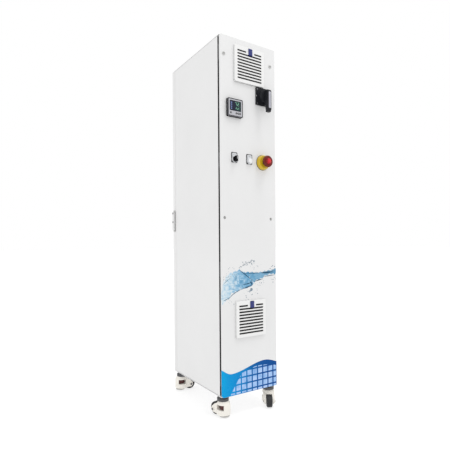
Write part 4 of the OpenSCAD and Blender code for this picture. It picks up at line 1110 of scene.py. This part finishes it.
def gear_details():
    lo, hi = cad("control_gear")
    board = cad("mounting_plate")[0].x
    rail_y = lo.y + 6
    top_z, low_z = hi.z - 42, lo.z + 36
    breakers = [rail_y + 18 * i + 8.7 for i in range(4)]
    contactors = [rail_y + 72 + 46 * i + 22.7 for i in range(2)]
    relays = [rail_y + 27 * i + 13.2 for i in range(3)]
    terminals = [rail_y + 81 + 8 * i + 3.7 for i in range(13)]
    ducts = Shape()
    duct(ducts, (board - 40, lo.y - 28, Z_0 + 905), (board - 0.2, lo.y - 4, Z_0 + 1365), "z")
    for low, high in ((1075, 1112), (905, 940), (1262, 1298)):
        duct(ducts, (board - 40, lo.y - 3, Z_0 + low), (board - 0.2, hi.y, Z_0 + high), "y")
    ducts.done("cable_ducts", "cabinet", GEAR_GREY, "gear_grey", 0.2)
    dark, light, orange, blue, green = Shape(), Shape(), Shape(), Shape(), Shape()
    face = board - RAIL - 62
    for y in breakers:
        dark.block((face - 9, y - 3, top_z - 3), (face + 1, y + 3, top_z + 8))
        light.plate((face, y, top_z - 20), oblong(13, 9), 0.3, u=-UP.cross(ACROSS), v=UP, out=-ACROSS)
        for dz in (-36, 36):
            dark.turned((face + 0.2, y, top_z + dz), -ACROSS, [(2.8, 0), (2.8, 0.3)], 16)
    for y in contactors:
        dark.block((face - 16.5, y - 15, top_z - 18), (face - 13.5, y + 15, top_z + 18))
        for row in (-32, 32):
            for dy in (-14, 0, 14):
                light.turned((face - 13.8, y + dy, top_z + row), -ACROSS,
                             [(3.4, 0), (3.4, 0.5), (2.4, 0.8)], 20)
    face = board - RAIL - 56
    for y in relays:
        orange.block((face - 4, y - 10, low_z - 14), (face + 0.5, y + 10, low_z + 16))
        green.turned((face, y + 6, low_z + 26), -ACROSS, [(1.6, -0.2), (1.6, 0.8), (0.8, 1.3)], 16)
    face = board - RAIL - 40
    for i, y in enumerate(terminals):
        cap = (blue, light, green, light)[i % 4] if i % 6 else green
        cap.block((face - 0.8, y - 3.2, low_z - 20), (face + 0.3, y + 3.2, low_z + 20))
        for dz in (-13, 13):
            dark.turned((face - 0.7, y, low_z + dz), -ACROSS, [(1.9, 0), (1.9, 0.3)], 12)
    dark.done("gear_toggles", "cabinet", BLACK_PLASTIC, "black_plastic", 0.2)
    light.done("gear_marker_strips", "cabinet", PRINT_WHITE, "gear_grey", 0.1)
    orange.done("relay_covers", "cabinet", ORANGE_PLASTIC, "gear_grey", 0.4)
    blue.done("blue_terminals", "cabinet", TERMINAL_BLUE, "gear_grey")
    green.done("green_terminals", "cabinet", TERMINAL_GREEN, "gear_grey")
    wires = {"black": Shape(), "blue": Shape(), "red": Shape()}
    order = ("black", "blue", "red", "black", "blue")
    for i, y in enumerate(breakers):
        for dz, end, pick in ((42, 66, i), (-42, -74, i + 1)):
            start = Vector((board - 40, y, top_z + dz))
            wires[order[pick]].tube([start, start + Vector((-3, 0, (end - dz) * 0.4)),
                                     start + Vector((4, 0, (end - dz) * 0.8)),
                                     Vector((board - 20, y, top_z + end))], 1.5, 8)
    for i, y in enumerate(terminals):
        start = Vector((board - 30, y, low_z - 22))
        wires[order[i % 5]].tube([start, start + Vector((-4, 0, -9)),
                                  Vector((board - 18, y, low_z - 36))], 1.2, 8)
    for colour, material in (("black", RUBBER_AND_PAINTED_SHADE), ("blue", TERMINAL_BLUE), ("red", RED_PLASTIC)):
        wires[colour].done(colour + "_wire_ends", "cabinet", material, "gasket")


def supply_details():
    lo, hi = cad("power_supply")
    plate = Shape().plate(((lo.x + hi.x) / 2 + 14, lo.y, (lo.z + hi.z) / 2), rounded(44, 90, 3), 0.5)
    plate.done("supply_blank_plate", "cabinet", LABEL, "supply_alu", 0.1)
    lamps = Shape()
    for dz in (0, 9, 18):
        lamps.turned(((lo.x + hi.x) / 2 + 14, lo.y, hi.z - 40 + dz), FRONT,
                     [(2, -0.2), (2, 1), (1, 1.6)], 16)
    lamps.done("supply_lamps", "cabinet", GREEN_DIGITS, "supply_alu")
    cell = middle("electrode_stack")
    top = cad("electrode_stack")[1].z
    bars, nuts = Shape(), Shape()
    for side in (-1, 1):
        y = cell.y + side * 24
        bars.block((cell.x - 9, y - 5.6, top - 9), (cell.x + 9, y - 4.1, lo.z + 6))
        bars.block((cell.x - 9, y - 5.6, top - 10.5), (cell.x + 9, y + 7, top - 9))
        for z in (top - 9, top - 19):
            nuts.turned((cell.x, y, z), UP, [(7.4, 0.1), (7.4, 4.6), (6.6, 5.2)], 6)
    bars.done("copper_bars", "cabinet", COPPER, "titanium", 0.3)
    nuts.done("rod_nuts", "cabinet", STEEL, "steel", 0.2)


def cell_details():
    lo, hi = cad("cell_housing")
    stack = middle("electrode_stack")
    rods, nuts = Shape(), Shape()
    for angle in (35, 145, 190, 235, 280, 325):
        a = math.radians(angle)
        foot = Vector((stack.x + 58.6 * math.cos(a), stack.y + 58.6 * math.sin(a), 0))
        rods.turned(foot + UP * (lo.z - 6), UP, [(2.2, 0), (2.2, hi.z - lo.z + 12)], 12)
        for z in (lo.z - 4, hi.z - 0.2):
            nuts.turned(foot + UP * z, UP, [(4.6, 0), (4.6, 4), (4.1, 4.4)], 6)
    rods.done("cell_tie_rods", "cabinet", STEEL, "steel")
    nuts.done("cell_tie_nuts", "cabinet", STEEL, "steel", 0.15)
    bands = Shape()
    for z in (lo.z + 8, hi.z - 12):
        bands.ring((stack.x, stack.y, z), UP, 62.9, 61.4, 4, 64)
    bands.done("cell_cap_bands", "cabinet", PVC_GREY, "pvc_grey", 0.4)


def door_details():
    """Document pocket and earth stud on the inside of the door."""
    lo, hi = cad("side_door")
    y = (lo.y + hi.y) / 2
    pocket = Shape()
    pocket.block((lo.x + 1.9, y - 100, Z_0 + 800), (lo.x + 10, y + 100, Z_0 + 803))
    for a in (-100, 98):
        pocket.block((lo.x + 1.9, y + a, Z_0 + 800), (lo.x + 10, y + a + 2, Z_0 + 950))
    pocket.block((lo.x + 9, y - 100, Z_0 + 800), (lo.x + 10.5, y + 100, Z_0 + 930))
    pocket.done("document_pocket", "door", GEAR_GREY, "gear_grey", 0.3)
    stud = Shape()
    for z in (Z_0 + 250, Z_0 + 1250):
        stud.turned((lo.x + 1.9, lo.y + 40, z), ACROSS, [(3, 0), (3, 9), (2.5, 9.5)], 20)
        stud.turned((lo.x + 1.9, lo.y + 40, z), ACROSS, [(6, 0.5), (6, 4.5), (5.2, 5)], 6)
    stud.done("door_earth_studs", "door", STEEL, "steel")


# ---- Make everything ----

def make_model():
    for material, radius, nodes in NODE_FINISHES:
        for node in nodes.split():
            soften(node, material, radius)
    for build in (wave_band, pool_tiles, water_splash, controller_details, switch_details,
                  operator_details, stop_details, louvre_painted_shade, screw_recess_painted_shade, slit_painted_shade,
                  latch_details, rear_details, caster_details, fan_details, gear_details,
                  supply_details, cell_details, door_details):
        build()


add_camera()
add_studio()
make_model()
